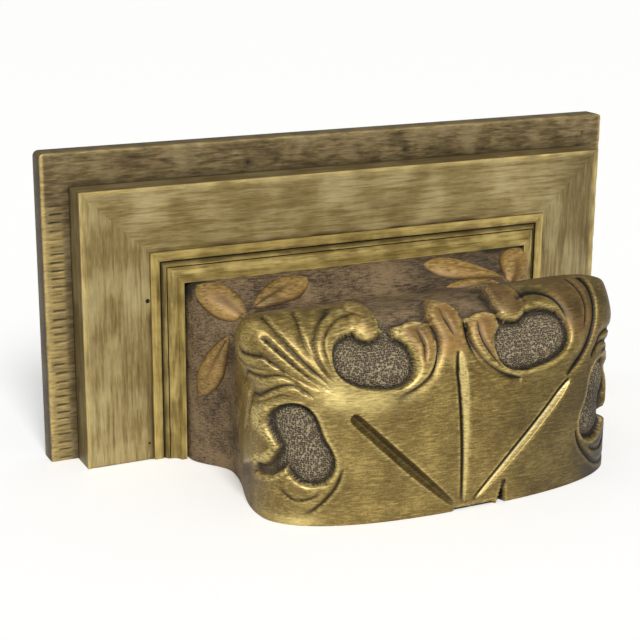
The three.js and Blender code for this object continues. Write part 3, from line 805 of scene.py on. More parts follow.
@dataclass
class MitredRun:
    """Three mitred lengths of one profile: up the left, along the top and down the right.

    profile holds, in millimetres, the distance in from the outer edge and the distance
    forward of the board's back. width and height are the run's outer sizes, stile and rail
    its widths at the sides and along the top, and gap is left open at each mitre. rounds is
    the width of the soft round on each edge. quirks are the grooves' distances in and the
    level below which they take dark painted shade. foot_shade_level is how far forward painted
    shade lies at the foot of the outer edge, and outer_drop is how far the outer arris lies
    behind the front. outer_shade and right_shade are how dark the painted shade is on the
    outer side and towards the far right, and inner_dirt and inner_worn say how much dirt
    the inner edge has and whether it is rubbed. worn_band is how far in from an arris it is
    rubbed, and quirk_reach half a quirk's width.
    """

    nodes: tuple[str, str, str]
    names: tuple[str, str, str]
    slot: str
    finish: Gilding
    profile: list[tuple[float, float]]
    width: float
    height: float
    stile: float
    rail: float
    gap: float
    rounds: float
    quirks: tuple[tuple[float, float], ...] = ()
    foot_shade_level: float = 0.0
    outer_drop: float = 1.4
    outer_shade: float = 0.0
    right_shade: float = 0.4
    inner_dirt: float = 0.35
    inner_worn: bool = True
    worn_band: float = 1.3
    quirk_reach: float = 0.45
    cut_pitch: float = 2.5

    def build(self) -> list[bpy.types.Object]:
        """Makes the three lengths.

        Returns:
            Their objects, left, top and right.
        """
        made = []
        for index, place in enumerate((self.left, self.top, self.right)):
            bm = self.length(place)
            along = Axis.ACROSS if index == 1 else Axis.UP
            self.cut(bm, along)
            self.mark(bm)
            material = self.finish.build(along)
            made.append(publish(bm, self.names[index], self.nodes[index], material, 30.0))
        return made

    def left(self, inward: float, forward: float, end: int) -> Vector:
        """Place of a profile point on the left stile, at its foot or its mitre."""
        top = self.height - inward / self.stile * self.rail - self.gap
        return Vector((-(self.width / 2 - inward), -forward, top if end else 0.0))

    def right(self, inward: float, forward: float, end: int) -> Vector:
        """Place of a profile point on the right stile, at its foot or its mitre."""
        place = self.left(inward, forward, end)
        return Vector((-place.x, place.y, place.z))

    def top(self, inward: float, forward: float, end: int) -> Vector:
        """Place of a profile point on the top rail, at its left or right mitre."""
        reach = self.width / 2 - inward - self.gap
        rise = self.height - inward / self.stile * self.rail
        return Vector((reach if end else -reach, -forward, rise))

    def length(self, place: Callable[[float, float, int], Vector]) -> bmesh.types.BMesh:
        """Makes one length from the profile.

        Args:
            place: Function that gives a profile point's place at each end.

        Returns:
            The closed length, in metres.
        """
        bm = bmesh.new()
        start = []
        for inward, forward in self.profile:
            start.append(bm.verts.new(place(inward, forward, 0) * MM))
        face = bm.faces.new(start)
        grown = bmesh.ops.extrude_face_region(bm, geom=[face])["geom"]
        far = [g for g in grown if isinstance(g, bmesh.types.BMVert)]
        for vert in far:
            near = min(start, key=lambda v: (v.co - vert.co).length)
            inward, forward = self.profile[start.index(near)]
            vert.co = place(inward, forward, 1) * MM
        for vert in bm.verts:
            vert.co.z += CUT_LEVEL
        long_edges = [e for e in bm.edges if self.runs_along(e) and e.calc_face_angle(0.0) > 0.6]
        bmesh.ops.bevel(
            bm,
            geom=long_edges,
            offset=self.rounds * MM,
            affect="EDGES",
            segments=2,
            profile=0.5,
            material=-1,
            clamp_overlap=True,
        )
        return bm

    def runs_along(self, edge: bmesh.types.BMEdge) -> bool:
        """Says whether an edge runs the way of the length, not across its mitre."""
        step = edge.verts[0].co - edge.verts[1].co
        return step.length > 25 * MM and max(abs(step.x), abs(step.z)) > 0.999 * step.length

    def cut(self, bm: bmesh.types.BMesh, along: Axis) -> None:
        """Cuts the length crosswise, so that its arrises can carry wear.

        Args:
            bm: The length.
            along: The way it runs.
        """
        axis = along.value
        places = [v.co[axis] for v in bm.verts]
        slice_along(bm, axis, min(places), max(places), self.cut_pitch * MM)

    def mark(self, bm: bmesh.types.BMesh) -> None:
        """Notes each vertex's wear, dirt and painted shade, from the profile beside it.

        Args:
            bm: The length.
        """
        wear = bm.verts.layers.float.new(Layer.WEAR.value)
        shade = bm.verts.layers.float.new(Layer.SHADE.value)
        face = max(forward for _, forward in self.profile)
        for vert in bm.verts:
            side = self.width / 2 - abs(vert.co.x) / MM
            top = (self.height - (vert.co.z - CUT_LEVEL) / MM) / self.rail * self.stile
            inward = min(side, top)
            forward = -vert.co.y / MM
            # Painted shade in the quirks, at the foot and on the outer side of the run, and towards
            # the far right; dirt on the inner edge
            near_quirks = [level for q, level in self.quirks if abs(inward - q) < self.quirk_reach]
            in_quirk = any(forward < level for level in near_quirks)
            at_foot = forward < self.foot_shade_level
            on_outer = inward < 0.05 and forward < face - 1.2
            on_inner = inward > self.stile - 0.9
            dirt = min(1.0, max(0.0, self.inner_dirt + noise.noise(vert.co * 90.0)))
            far_right_shade = self.right_shade * float(ease(95.0, 150.0, vert.co.x / MM))
            vert[shade] = 1.0 if in_quirk or at_foot else self.outer_shade if on_outer else 0.0
            in_front = forward > face - 1.5
            vert[shade] = max(vert[shade], dirt if on_inner and in_front else far_right_shade)
            band = self.worn_band
            outer = inward < band and forward > face - self.outer_drop
            inner = self.inner_worn and abs(inward - self.stile) < band and forward > face - 1.4
            bite = noise.noise(vert.co * 120.0)
            vert[wear] = (0.65 + 0.6 * bite) if outer or inner else 0.0


@dataclass
class BlockForm:
    """The carved block before it is carved, in millimetres.

    Its rings are squared half-ellipses above the cut face. The front is bowed from its
    foremost point back to the crest, by side_bow at the sides and top_bow at the top. Behind
    the crest the block narrows to its waist and flares to its foot on the moulding. The
    squares are the exponents of the rings, 2 for an ellipse and more for a squarer one. ear
    is how far the upper corners stand out, from the first of the ear_heights upward.
    """

    reach: float = 152.5
    crest_half_width: float = 96.0
    crest_height: float = 95.0
    side_bow: float = 38.0
    top_bow: float = 40.0
    side_roundness: float = 2.4
    top_roundness: float = 2.2
    corner_blend: float = 1.6
    waist_inset_side: float = 10.0
    waist_inset_top: float = 12.0
    waist_depth: float = 50.0
    flare_depth: float = 25.0
    focus_square: float = 2.0
    crest_square: float = 24.0
    waist_square: float = 10.0
    foot_square: float = 60.0
    foot_half_width: float = 98.9
    foot_height: float = 93.7
    foot_front: float = MOULDING_FRONT
    back: float = BOARD_FRONT
    ear: float = 6.0
    ear_heights: tuple[float, float] = (60.0, 79.0)

    def with_ears(self, points: np.ndarray, fade: float = 1.0) -> np.ndarray:
        """Widens the upper corners, which stand out like ears.

        Args:
            points: Points of a ring.
            fade: Share of the full ears.

        Returns:
            The widened points.
        """
        outer = np.clip(np.abs(points[:, 0]) / self.crest_half_width, 0, 1) ** 5
        grown = self.ear * fade * outer * ease(*self.ear_heights, points[:, 2])
        return points + np.sign(points[:, :1]) * grown[:, None] * np.array([1.0, 0.0, 0.0])

    def bow(self, x: np.ndarray, z: np.ndarray) -> np.ndarray:
        """How far the bowed front lies behind its foremost point.

        Args:
            x: Places across.
            z: Heights above the cut face.

        Returns:
            Distances back.
        """
        across = np.clip(np.abs(x) / self.crest_half_width, 0, 1) ** self.side_roundness
        up = np.clip(z / self.crest_height, 0, 1) ** self.top_roundness
        side = self.side_bow * (1 - (1 - across) ** (1 / self.side_roundness))
        top = self.top_bow * (1 - (1 - up) ** (1 / self.top_roundness))
        blend = self.corner_blend
        return (side**blend + top**blend) ** (1 / blend)

    def section(
        self, angle: np.ndarray, half_width: float, height: float, square: float
    ) -> tuple[np.ndarray, np.ndarray]:
        """Points of a squared half-ellipse above the cut face.

        Args:
            angle: Angles from +X, seen from the focus.
            half_width: Half of its width.
            height: Its height.
            square: Exponent, 2 for an ellipse and more for a squarer one.

        Returns:
            Arrays of x and z.
        """
        along = np.abs(np.cos(angle) / half_width) ** square
        up = np.abs(np.sin(angle) / height) ** square
        reach = (along + up) ** (-1 / square)
        return np.cos(angle) * reach, np.sin(angle) * reach

    def ring(self, angle: np.ndarray, stage: float) -> np.ndarray:
        """One ring of the block: stage 0 to 1 is focus to crest, 2 waist, 3 foot, 4 board.

        Args:
            angle: Angles round the ring.
            stage: How far along the block the ring lies.

        Returns:
            Points, one row each.
        """
        if stage <= 1:
            share = max(stage, 1e-4)
            square = mix(self.focus_square, self.crest_square, share * share)
            half_width, height = share * self.crest_half_width, share * self.crest_height
            x, z = self.section(angle, half_width, height, square)
            return self.with_ears(np.stack([x, self.bow(x, z) - self.reach, z], axis=-1))
        crest = self.ring(angle, 1.0)
        waist_share = self.waist_depth / (self.waist_depth + self.flare_depth)
        waist_width = self.crest_half_width - self.waist_inset_side
        waist_height = self.crest_height - self.waist_inset_top
        if stage <= 2:
            share = stage - 1
            turn = 0.5 - 0.5 * math.cos(math.pi * share)
            half_width = mix(self.crest_half_width, waist_width, turn)
            height = mix(self.crest_height, waist_height, turn)
            square = mix(self.crest_square, self.waist_square, turn)
            x, z = self.section(angle, half_width, height, square)
            y = mix(crest[:, 1], -self.foot_front, waist_share * share)
            return self.with_ears(np.stack([x, y, z], axis=-1), float(ease(0.75, 0.1, share)))
        share = min(stage, 3.0) - 2
        turn = 0.5 - 0.5 * math.cos(math.pi * share)
        half_width = mix(waist_width, self.foot_half_width, turn)
        height = mix(waist_height, self.foot_height, turn)
        square = mix(self.waist_square, self.foot_square, turn)
        x, z = self.section(angle, half_width, height, square)
        y = mix(crest[:, 1], -self.foot_front, mix(waist_share, 1.0, share))
        if stage > 3:
            y = np.full_like(x, mix(-self.foot_front, -self.back, stage - 3))
        return np.stack([x, y, z], axis=-1)


@dataclass(frozen=True)
class Oval:
    """A tilted, slightly squared oval on the block's front, in millimetres and degrees."""

    u: float
    z: float
    half_u: float
    half_z: float
    tilt: float
    square: float = 2.3

    def inside(self, u: np.ndarray, z: np.ndarray) -> np.ndarray:
        """Distance inside the oval's edge, negative outside.

        Args:
            u: Places out from the carving's centre line.
            z: Heights above the cut face.

        Returns:
            Distances.
        """
        turn = math.radians(self.tilt)
        du, dz = u - self.u, z - self.z
        p = np.abs(du * math.cos(turn) + dz * math.sin(turn)) / self.half_u + 1e-6
        q = np.abs(dz * math.cos(turn) - du * math.sin(turn)) / self.half_z + 1e-6
        n = self.square
        reach = (p**n + q**n) ** (1 / n)
        slope = np.hypot(p ** (n - 1) / self.half_u, q ** (n - 1) / self.half_z) * reach ** (1 - n)
        return (1 - reach) / slope


class Side(Enum):
    """The side of the front that a stroke is carved on."""

    LEFT = -1
    BOTH = 0
    RIGHT = 1


@dataclass(frozen=True)
class Stroke:
    """A V-cut along a curve of places (u, z), in millimetres.

    soft is 0 for an even V. Otherwise one side of the cut falls steeply and the other rises
    gently over soft millimetres, as a flute does: left of the way it runs, or right where
    soft is negative. tapers are how far it takes to reach its full depth at its start and its
    end. glaze and burnish say how much painted shade, with some glazing, and how much painted
    highlight its right and its left wall take.
    """

    places: tuple[tuple[float, float], ...]
    half_width: float = 0.9
    depth: float = 1.2
    soft: float = 0.0
    side: Side = Side.BOTH
    tapers: tuple[float, float] = (5.0, 5.0)
    mirrored: bool = True
    round_bottom: bool = False
    glaze_and_shade: tuple[float, float] = (0.0, 0.0)
    burnish: tuple[float, float] = (0.0, 0.0)

    def curve(self, per_span: int = 6) -> np.ndarray:
        """Draws a smooth curve through the places.

        Args:
            per_span: How many steps lie between two places.

        Returns:
            The curve's points, one row each.
        """
        known = np.array(self.places, dtype=float)
        known = np.vstack([2 * known[0] - known[1], known, 2 * known[-1] - known[-2]])
        made = []
        for i in range(1, len(known) - 2):
            a, b, c, d = known[i - 1 : i + 3]
            for t in np.arange(per_span) / per_span:
                bend = (2 * a - 5 * b + 4 * c - d) * t * t + (3 * b - a - 3 * c + d) * t**3
                made.append(0.5 * (2 * b + (c - a) * t + bend))
        return np.array(made + [known[-2]])

    def cut(
        self, x: np.ndarray, u: np.ndarray, z: np.ndarray, middle: float
    ) -> tuple[np.ndarray, np.ndarray]:
        """The cut's depth, and how its walls are toned.

        Args:
            x: Places across.
            u: Mirrored places.
            z: Heights above the cut face.
            middle: The carving's centre line.

        Returns:
            Heights, nought outside the cut, and tones from -1, dark with painted shade and some
            glazing, to 1, painted highlight.
        """
        made, tone = np.zeros_like(u), np.zeros_like(u)
        across = u if self.mirrored else x
        curve = self.curve()
        reach = max(self.half_width, abs(self.soft)) + 0.5
        low_u, low_z = curve.min(axis=0) - reach
        high_u, high_z = curve.max(axis=0) + reach
        near = (across > low_u) & (across < high_u) & (z > low_z) & (z < high_z)
        if self.side is not Side.BOTH:
            near &= (x - middle) * self.side.value > 0
        if not near.any():
            return made, tone
        signed, along, run = self.nearest(curve, np.stack([across[near], z[near]], axis=-1))
        ends = np.minimum(along / self.tapers[0], (run - along) / self.tapers[1])
        taper = np.sqrt(np.clip(ends, 0, 1))
        share = signed / (self.half_width * (0.35 + 0.65 * taper))
        inside = np.clip(np.abs(share), 0, 1)
        depth = 1 - inside**1.6 if self.round_bottom else 1 - inside
        if self.soft:
            distance = signed * math.copysign(1.0, self.soft)
            slope = np.clip(1 - distance / abs(self.soft), 0, 1) ** 1.6
            depth = np.where(distance > 0, slope, depth)
        made[near] = -self.depth * taper * depth
        # Painted highlight on one wall, painted shade with some glazing on the other
        wall = ease(-0.1, 0.5, share)
        bright = mix(self.burnish[0], self.burnish[1], wall) * ease(1.15, 0.75, np.abs(share))
        bright = bright * (1 - 0.5 * along / run)
        dark = mix(self.glaze_and_shade[0], self.glaze_and_shade[1], wall) * ease(1.15, 0.9, np.abs(share))
        tone[near] = (bright - dark) * ease(0.0, 0.3, taper)
        return made, tone

    def nearest(self, curve: np.ndarray, here: np.ndarray) -> tuple[np.ndarray, np.ndarray, float]:
        """Finds the nearest place on a curve.

        Args:
            curve: The curve's points.
            here: Places.

        Returns:
            Distances, positive to the left of the way the curve runs, how far along the
            nearest place lies, and the curve's length.
        """
        best = np.full(len(here), 1e9)
        signed, along = np.zeros(len(here)), np.zeros(len(here))
        run = 0.0
        for start, end in zip(curve[:-1], curve[1:]):
            step = end - start
            length = float(np.hypot(*step))
            away = here - start
            share = np.clip(away @ step / length**2, 0, 1)
            gap = np.linalg.norm(away - share[:, None] * step, axis=-1)
            turn = step[0] * away[:, 1] - step[1] * away[:, 0]
            closer = gap < best
            best = np.where(closer, gap, best)
            signed = np.where(closer, np.copysign(gap, turn), signed)
            along = np.where(closer, run + share * length, along)
            run += length
        return signed, along, run


LEFT, RIGHT, BOTH = Side.LEFT, Side.RIGHT, Side.BOTH

# The strokes of the carving: its places, half its width, its depth, its soft side, the side
# of the front it is on and the length of its tapers. The first are the edges and veins of the
# crest leaves, then the flutes of the two fans, the lines round the upper and the lower
# scrolls, and last the three rays, which are gouged with a round bottom.
STROKES = (
    Stroke(
        ((10, 89), (8, 84), (8, 79), (11, 72), (16, 66), (25, 61), (35, 58)),
        1.3, 1.7, -5.0, LEFT,
    ),
    Stroke(((10.5, 89), (9.3, 80), (12, 73), (17, 67), (25, 62), (33, 59)), 1.3, 1.7, -5.0, RIGHT),
    Stroke(((17.5, 85.5), (16, 79), (17.5, 72)), 0.9, 1.5, 3.0, LEFT),
    Stroke(((14.5, 86), (15, 78), (18.5, 71), (23, 65.5)), 0.9, 1.4, 3.0, RIGHT),
    Stroke(((-6.2, 92), (-5.2, 87), (-3.6, 81.5)), 1.0, 1.6, 2.5, BOTH, mirrored=False),
    Stroke(
        ((90.5, 97), (87, 89), (82, 82), (76, 75), (70, 69), (67, 65)),
        1.0, 1.7, 6.0, LEFT, (2, 12),
    ),
    Stroke(((92.5, 96), (89.5, 89), (85, 82), (79, 75.5)), 0.7, 1.0, 1.5, LEFT, (2, 5)),
    Stroke(((71, 99), (76, 92), (76, 85), (73, 79)), 0.8, 1.3, 4.0, LEFT, (2, 9)),
    Stroke(((95, 88), (88, 81), (81, 74), (74, 68), (68, 64)), 0.9, 1.6, -5.0, LEFT, (2, 12)),
    Stroke(((99, 82), (93, 77), (86, 72), (79, 68), (73, 65)), 0.8, 1.3, -4.0, LEFT, (4, 9)),
    Stroke(((106, 78), (98, 74), (90, 71.5), (84, 69)), 0.7, 0.8, -3.0, LEFT, (4, 6)),
    Stroke(
        ((86, 97), (86, 91), (85, 85), (82, 78), (77, 70.5), (70, 63.5), (59, 56)),
        1.2, 1.8, -7.0, RIGHT, (2, 9),
    ),
    Stroke(((76, 96), (78, 90), (77, 83), (73, 76)), 0.7, 0.9, 3.0, RIGHT, (2, 6)),
    Stroke(
        ((40, 96.5), (50, 96), (61, 94), (68, 90.5), (72, 85), (72, 79), (69, 73), (65, 69)),
        0.9, 1.2, 2.0, LEFT,
    ),
    Stroke(
        ((44, 92), (49, 93.2), (56, 92.6), (62, 90), (66, 86.3), (67.5, 82), (66.5, 76)),
        0.7, 0.9, 0.0, LEFT,
    ),
    Stroke(
        ((39, 91), (47, 93), (55, 92.5), (61, 89.5), (64, 83), (63.5, 75), (57, 68)),
        0.9, 1.1, 3.0, RIGHT,
    ),
    Stroke(
        ((76, 61.5), (83, 66.5), (90, 66), (95, 61), (99, 51), (103, 42), (107, 37)),
        1.2, 1.5, 3.0,
    ),
    Stroke(
        (
            (79, 62.5), (85, 69.5), (92, 71), (99, 68), (110, 61),
            (122, 53), (136, 38), (141, 22), (132, 12),
        ),
        1.2, 1.5, 4.0,
    ),
    Stroke(((84, 62), (90, 62), (95.5, 57), (99, 47), (98, 40)), 0.8, 0.9, 0.0),
    Stroke(((94, 5), (87, 3.6), (80, 5.6), (73, 11.5), (67, 19), (63.5, 28)), 0.9, 1.3, -3.0),
    Stroke(((91, 18), (88, 14), (84.5, 12), (79, 13), (74, 16)), 0.8, 1.1, -2.5),
    # The three rays: painted shade on their walls, and painted highlight on one wall of the middle
    # and the right ray
    Stroke(
        ((-2, 75), (-3.6, 40), (-5.3, 4)),
        3.1, 3.2, 0.0, BOTH, (9, 60), mirrored=False, round_bottom=True,
        glaze_and_shade=(0.8, 0.0), burnish=(0.0, 1.3),
    ),
    Stroke(
        ((-60.5, 52.5), (-36, 28), (-10.5, 3.8)),
        2.8, 2.9, 0.0, BOTH, (2.5, 30), mirrored=False, round_bottom=True,
        glaze_and_shade=(0.3, 0.5),
    ),
    Stroke(
        ((58.8, 54.5), (30, 30), (0.5, 4)),
        2.5, 2.7, 0.0, BOTH, (9, 34), mirrored=False, round_bottom=True,
        glaze_and_shade=(0.6, 0.15), burnish=(0.0, 0.75),
    ),
)


@dataclass
class Carving:
    """The carving on the block's front, in millimetres from the plain form.

    u runs out from the carving's centre line and is mirrored, z up from the cut face. Both
    run on over the crest, down the back of it. upper is the upper recess and lobes, as centre
    and radius, make up the lower one. roof and hook are lists of u and z, or z and u, that
    bound the opening beside it. The knobs that end the upper scrolls hold u, z, half their
    width and half their height, channel holds the left and the right start and end of the
    gap above the upper recess, and the three leaf arcs hold centre and radius. crack holds
    its place across, its height and half its width at the foot, and chip the four places
    across where the chip beside it starts, is full, is still full and ends. side_rise is how
    far the lower scroll stands out over the block's side, and the band is the soft swelling
    round the upper recess, band_out from its edge.
    """

    centre: float = -4.5
    half_width: float = 96.0
    ground_depth: float = 5.2
    ground_edge: float = 1.5
    boss_rise: float = 4.0
    boss_spread: float = 10.0
    knob_rise: float = 2.0
    side_rise: float = 1.6
    band_rise: float = 0.8
    band_out: float = 5.0
    band_spread: float = 3.6
    upper: Oval = Oval(43.2, 75.4, 21.8, 13.0, 9.0, 2.4)
    lobes: tuple[tuple[float, float, float], ...] = ((84.8, 48.6, 10.8), (77.8, 30.0, 11.4))
    lobe_blend: float = 14.0
    roof: tuple[tuple[float, ...], ...] = (
        (86, 91, 93, 94.5, 97, 118, 140),
        (46, 38, 33, 29, 25, 16, 9),
    )
    hook: tuple[tuple[float, ...], ...] = ((4, 12, 18, 22, 27, 31), (130, 112, 99, 93, 88.5, 83))
    left_knob: tuple[float, float, float, float] = (43.2, 91.2, 7.4, 6.2)
    right_knob: tuple[float, float, float, float] = (35.4, 91.8, 8.6, 6.6)
    channel: tuple[tuple[float, float], ...] = ((29.5, 36.5), (26.0, 31.0))
    leaf_rise: float = 2.0
    leaf_edge: float = 3.4
    side_leaf: tuple[float, float, float] = (19.0, 80.8, 9.8)
    sweep: tuple[float, float, float] = (30.0, 81.5, 21.8)
    middle_leaf: tuple[float, float, float] = (0.0, 84.5, 11.6)
    crack: tuple[float, float, float] = (16.2, 10.5, 2.0)
    crack_depth: float = 4.5
    crack_lean: float = 0.12
    chip: tuple[float, float, float, float] = (-10.5, -8.5, 12.0, 13.5)
    chip_depth: float = 1.8

    def mirrored(self, x: np.ndarray) -> np.ndarray:
        """Places out from the carving's centre line, the same range on either side."""
        side = self.half_width - np.sign(x - self.centre) * self.centre
        return np.abs(x - self.centre) * self.half_width / side

    def recesses(self, right: np.ndarray, u: np.ndarray, z: np.ndarray) -> tuple[np.ndarray, ...]:
        """Distances inside the sunk places.

        Args:
            right: 1 right of the centre line and 0 left of it.
            u: Mirrored places.
            z: Heights.

        Returns:
            Distances inside the upper recess, the lower recess, the opening beside it and
            the knob that ends the upper scroll.
        """
        sizes = zip(self.left_knob, self.right_knob)
        knob_u, knob_z, wide, high = (mix(on_left, on_right, right) for on_left, on_right in sizes)
        knob = (1 - np.hypot((u - knob_u) / wide, (z - knob_z) / high)) * high
        start = mix(self.channel[0][0], self.channel[1][0], right)
        end = mix(self.channel[0][1], self.channel[1][1], right)
        channel = np.minimum(np.minimum(u - start, end - u), z - 80.0)
        upper = np.maximum(self.upper.inside(u, z), channel)
        upper = np.minimum(upper, -knob)
        first, second = (r - np.hypot(u - cu, z - cz) for cu, cz, r in self.lobes)
        near = np.clip(self.lobe_blend - np.abs(first - second), 0, None) / self.lobe_blend
        lower = np.maximum(first, second) + near * near * self.lobe_blend / 4
        roof = np.interp(u, *self.roof) - z
        hook = u - np.interp(z, *self.hook)
        opening = np.minimum(roof * 0.7, hook)
        return upper, lower, opening, knob

    def sample(self, x: np.ndarray, u: np.ndarray, z: np.ndarray) -> dict[str, np.ndarray]:
        """The carving's height and surface measures at places on the front.

        Args:
            x: Places across, not mirrored.
            u: Mirrored places, run on over the crest.
            z: Heights, run on over the crest.

        Returns:
            Arrays by name: height, ground (punched), open_ground (sunk and plain), leaf, tone
            (from -1, painted shade with some glazing, to 1, painted highlight) and crack.
        """
        right = (x > self.centre) * 1.0
        upper, lower, opening, knob = self.recesses(right, u, z)
        side_leaf, middle_leaf, middle_fade = self.leaf_edges(u, z, upper)
        side_round = np.sqrt(ease(0, self.leaf_edge, side_leaf)) * ease(56.0, 72.0, z)
        middle_round = np.sqrt(ease(0, self.leaf_edge, middle_leaf)) * middle_fade
        knob_round = np.sqrt(np.clip(knob / self.left_knob[3], 0, 1))
        leaves = np.maximum(side_round, middle_round)

        top = ease(87.5, 89.5, z) * ease(38.0, 34.0, u)
        walls = self.ground_edge
        mouth = ease(0, walls, opening)
        inside = np.maximum(ease(0, walls, upper), ease(0, walls, lower))
        punched = np.maximum(inside, mouth * ease(96.0, 90.0, u))
        open_side = np.maximum(top, mouth)
        sunk = np.maximum(punched, open_side) * (1 - leaves) * (1 - ease(0.0, 1.2, knob))
        punched = punched * ease(94.0, 90.5, z)
        low_side = 0.75 * ease(91.0, 100.0, u) * ease(24.0, 18.0, z)
        plain = np.maximum(open_side * (1 - punched), low_side)
        boss = np.clip(np.maximum(upper, lower) / self.boss_spread, 0, 1)
        boss = (1 - (1 - boss) ** 2) * ease(91.0, 84.0, z)
        depth = self.ground_depth * mix(1.0, 0.7, ease(86.0, 95.0, z))
        depth = depth * mix(1.0, mix(0.0, 0.6, punched), ease(93.0, 100.0, u))
        height = -depth * sunk + self.boss_rise * boss * sunk * punched
        height = height + self.leaf_rise * leaves + self.knob_rise * knob_round
        over_side = ease(91.0, 99.0, u) * ease(126.0, 108.0, u) * (z < 64.0)
        over_side = over_side * ease(0.0, 2.0, z - np.interp(u, *self.roof)) * ease(64.0, 58.0, z)
        height = height + self.side_rise * over_side * (1 - sunk)
        band = np.exp(-((upper + self.band_out) / self.band_spread) ** 2) * ease(60.0, 68.0, z)
        height = height + self.band_rise * band * (1 - sunk) * (1 - leaves)

        cuts, tone = self.cuts(x, u, z)
        height = height + cuts * ease(0.5, 0.15, sunk)
        crack, stained, chip = self.damage(x, z)
        height = height - self.crack_depth * crack - self.chip_depth * chip
        warm = self.warm(right, u, z, (side_leaf, middle_leaf * middle_fade, knob))
        return {
            "height": height,
            "ground": punched * sunk,
            "open_ground": plain,
            "leaf": warm * (1 - punched * sunk),
            "tone": np.clip(tone, -1, 1),
            "crack": stained,
        }

    def cuts(self, x: np.ndarray, u: np.ndarray, z: np.ndarray) -> tuple[np.ndarray, np.ndarray]:
        """All the strokes together.

        Args:
            x: Places across.
            u: Mirrored places.
            z: Heights.

        Returns:
            Heights, nought outside the cuts, and tones from -1, dark with painted shade and some
            glazing, to 1, painted highlight.
        """
        deepest, tone = np.zeros_like(u), np.zeros_like(u)
        for stroke in STROKES:
            cut, walls_tone = stroke.cut(x, u, z, self.centre)
            deepest = np.minimum(deepest, cut)
            tone = tone + walls_tone
        return deepest, tone

    def leaf_edges(
        self, u: np.ndarray, z: np.ndarray, upper: np.ndarray
    ) -> tuple[np.ndarray, np.ndarray, np.ndarray]:
        """Distances inside the edges of the crest leaves.

        Args:
            u: Mirrored places.
            z: Heights.
            upper: Distances inside the upper recess.

        Returns:
            Distances inside the side leaf and the middle leaf, and how much of the middle
            leaf is there, which dies away down the front.
        """
        sweep_u, sweep_z, sweep_radius = self.sweep
        sweep = sweep_radius - np.hypot(u - sweep_u, z - sweep_z)
        side_u, side_z, side_radius = self.side_leaf
        side_top = np.where(z > side_z, side_radius - np.hypot(u - side_u, z - side_z), 99.0)
        side_leaf = np.minimum(np.minimum(sweep, -upper), side_top)
        mid_u, mid_z, mid_radius = self.middle_leaf
        middle_top = np.where(z > mid_z, mid_radius - np.hypot(u - mid_u, z - mid_z), 99.0)
        middle_leaf = np.minimum(-sweep, middle_top)
        return side_leaf, middle_leaf, ease(66.0, 84.0, z) * ease(17.0, 14.0, u)

    def damage(self, x: np.ndarray, z: np.ndarray) -> tuple[np.ndarray, np.ndarray, np.ndarray]:
        """Says where the foot of the front is cracked and chipped.

        Args:
            x: Places across.
            z: Heights.

        Returns:
            Shares for the crack, the dark stain round it and the chip.
        """
        middle, top, half = self.crack
        wedge = half * np.clip(1 - z / top, 0, 1) - np.abs(x - middle - self.crack_lean * z)
        crack = ease(-0.3, 0.6, wedge) * (z < top)
        stained = ease(-1.5, -0.8, wedge) * (z < top + 1.0)
        start, full_from, full_to, end = self.chip
        chip = ease(2.0, 0.4, z) * ease(start, full_from, x) * ease(end, full_to, x)
        return crack, stained, chip

    def warm(
        self, right: np.ndarray, u: np.ndarray, z: np.ndarray, inside: tuple[np.ndarray, ...]
    ) -> np.ndarray:
        """Says where the carving has the leaves' warmer colour.

        Args:
            right: 1 right of the centre line and 0 left of it.
            u: Mirrored places.
            z: Heights.
            inside: Distances inside the side leaf, the middle leaf and the knob.

        Returns:
            Shares from 0 to 1.
        """
        side_leaf, middle_leaf, knob = inside
        leaves = np.maximum(ease(0.2, 1.6, side_leaf), ease(0.2, 1.6, middle_leaf))
        leaves = leaves * ease(66.0, 80.0, z)
        tip = mix(0.4, 0.8, right) * ease(0.0, 2.0, knob)
        outer = 0.7 * right * ease(58.0, 66.0, u) * ease(86.0, 79.0, u) * ease(68.0, 78.0, z)
        return np.maximum(np.maximum(leaves, tip), outer)


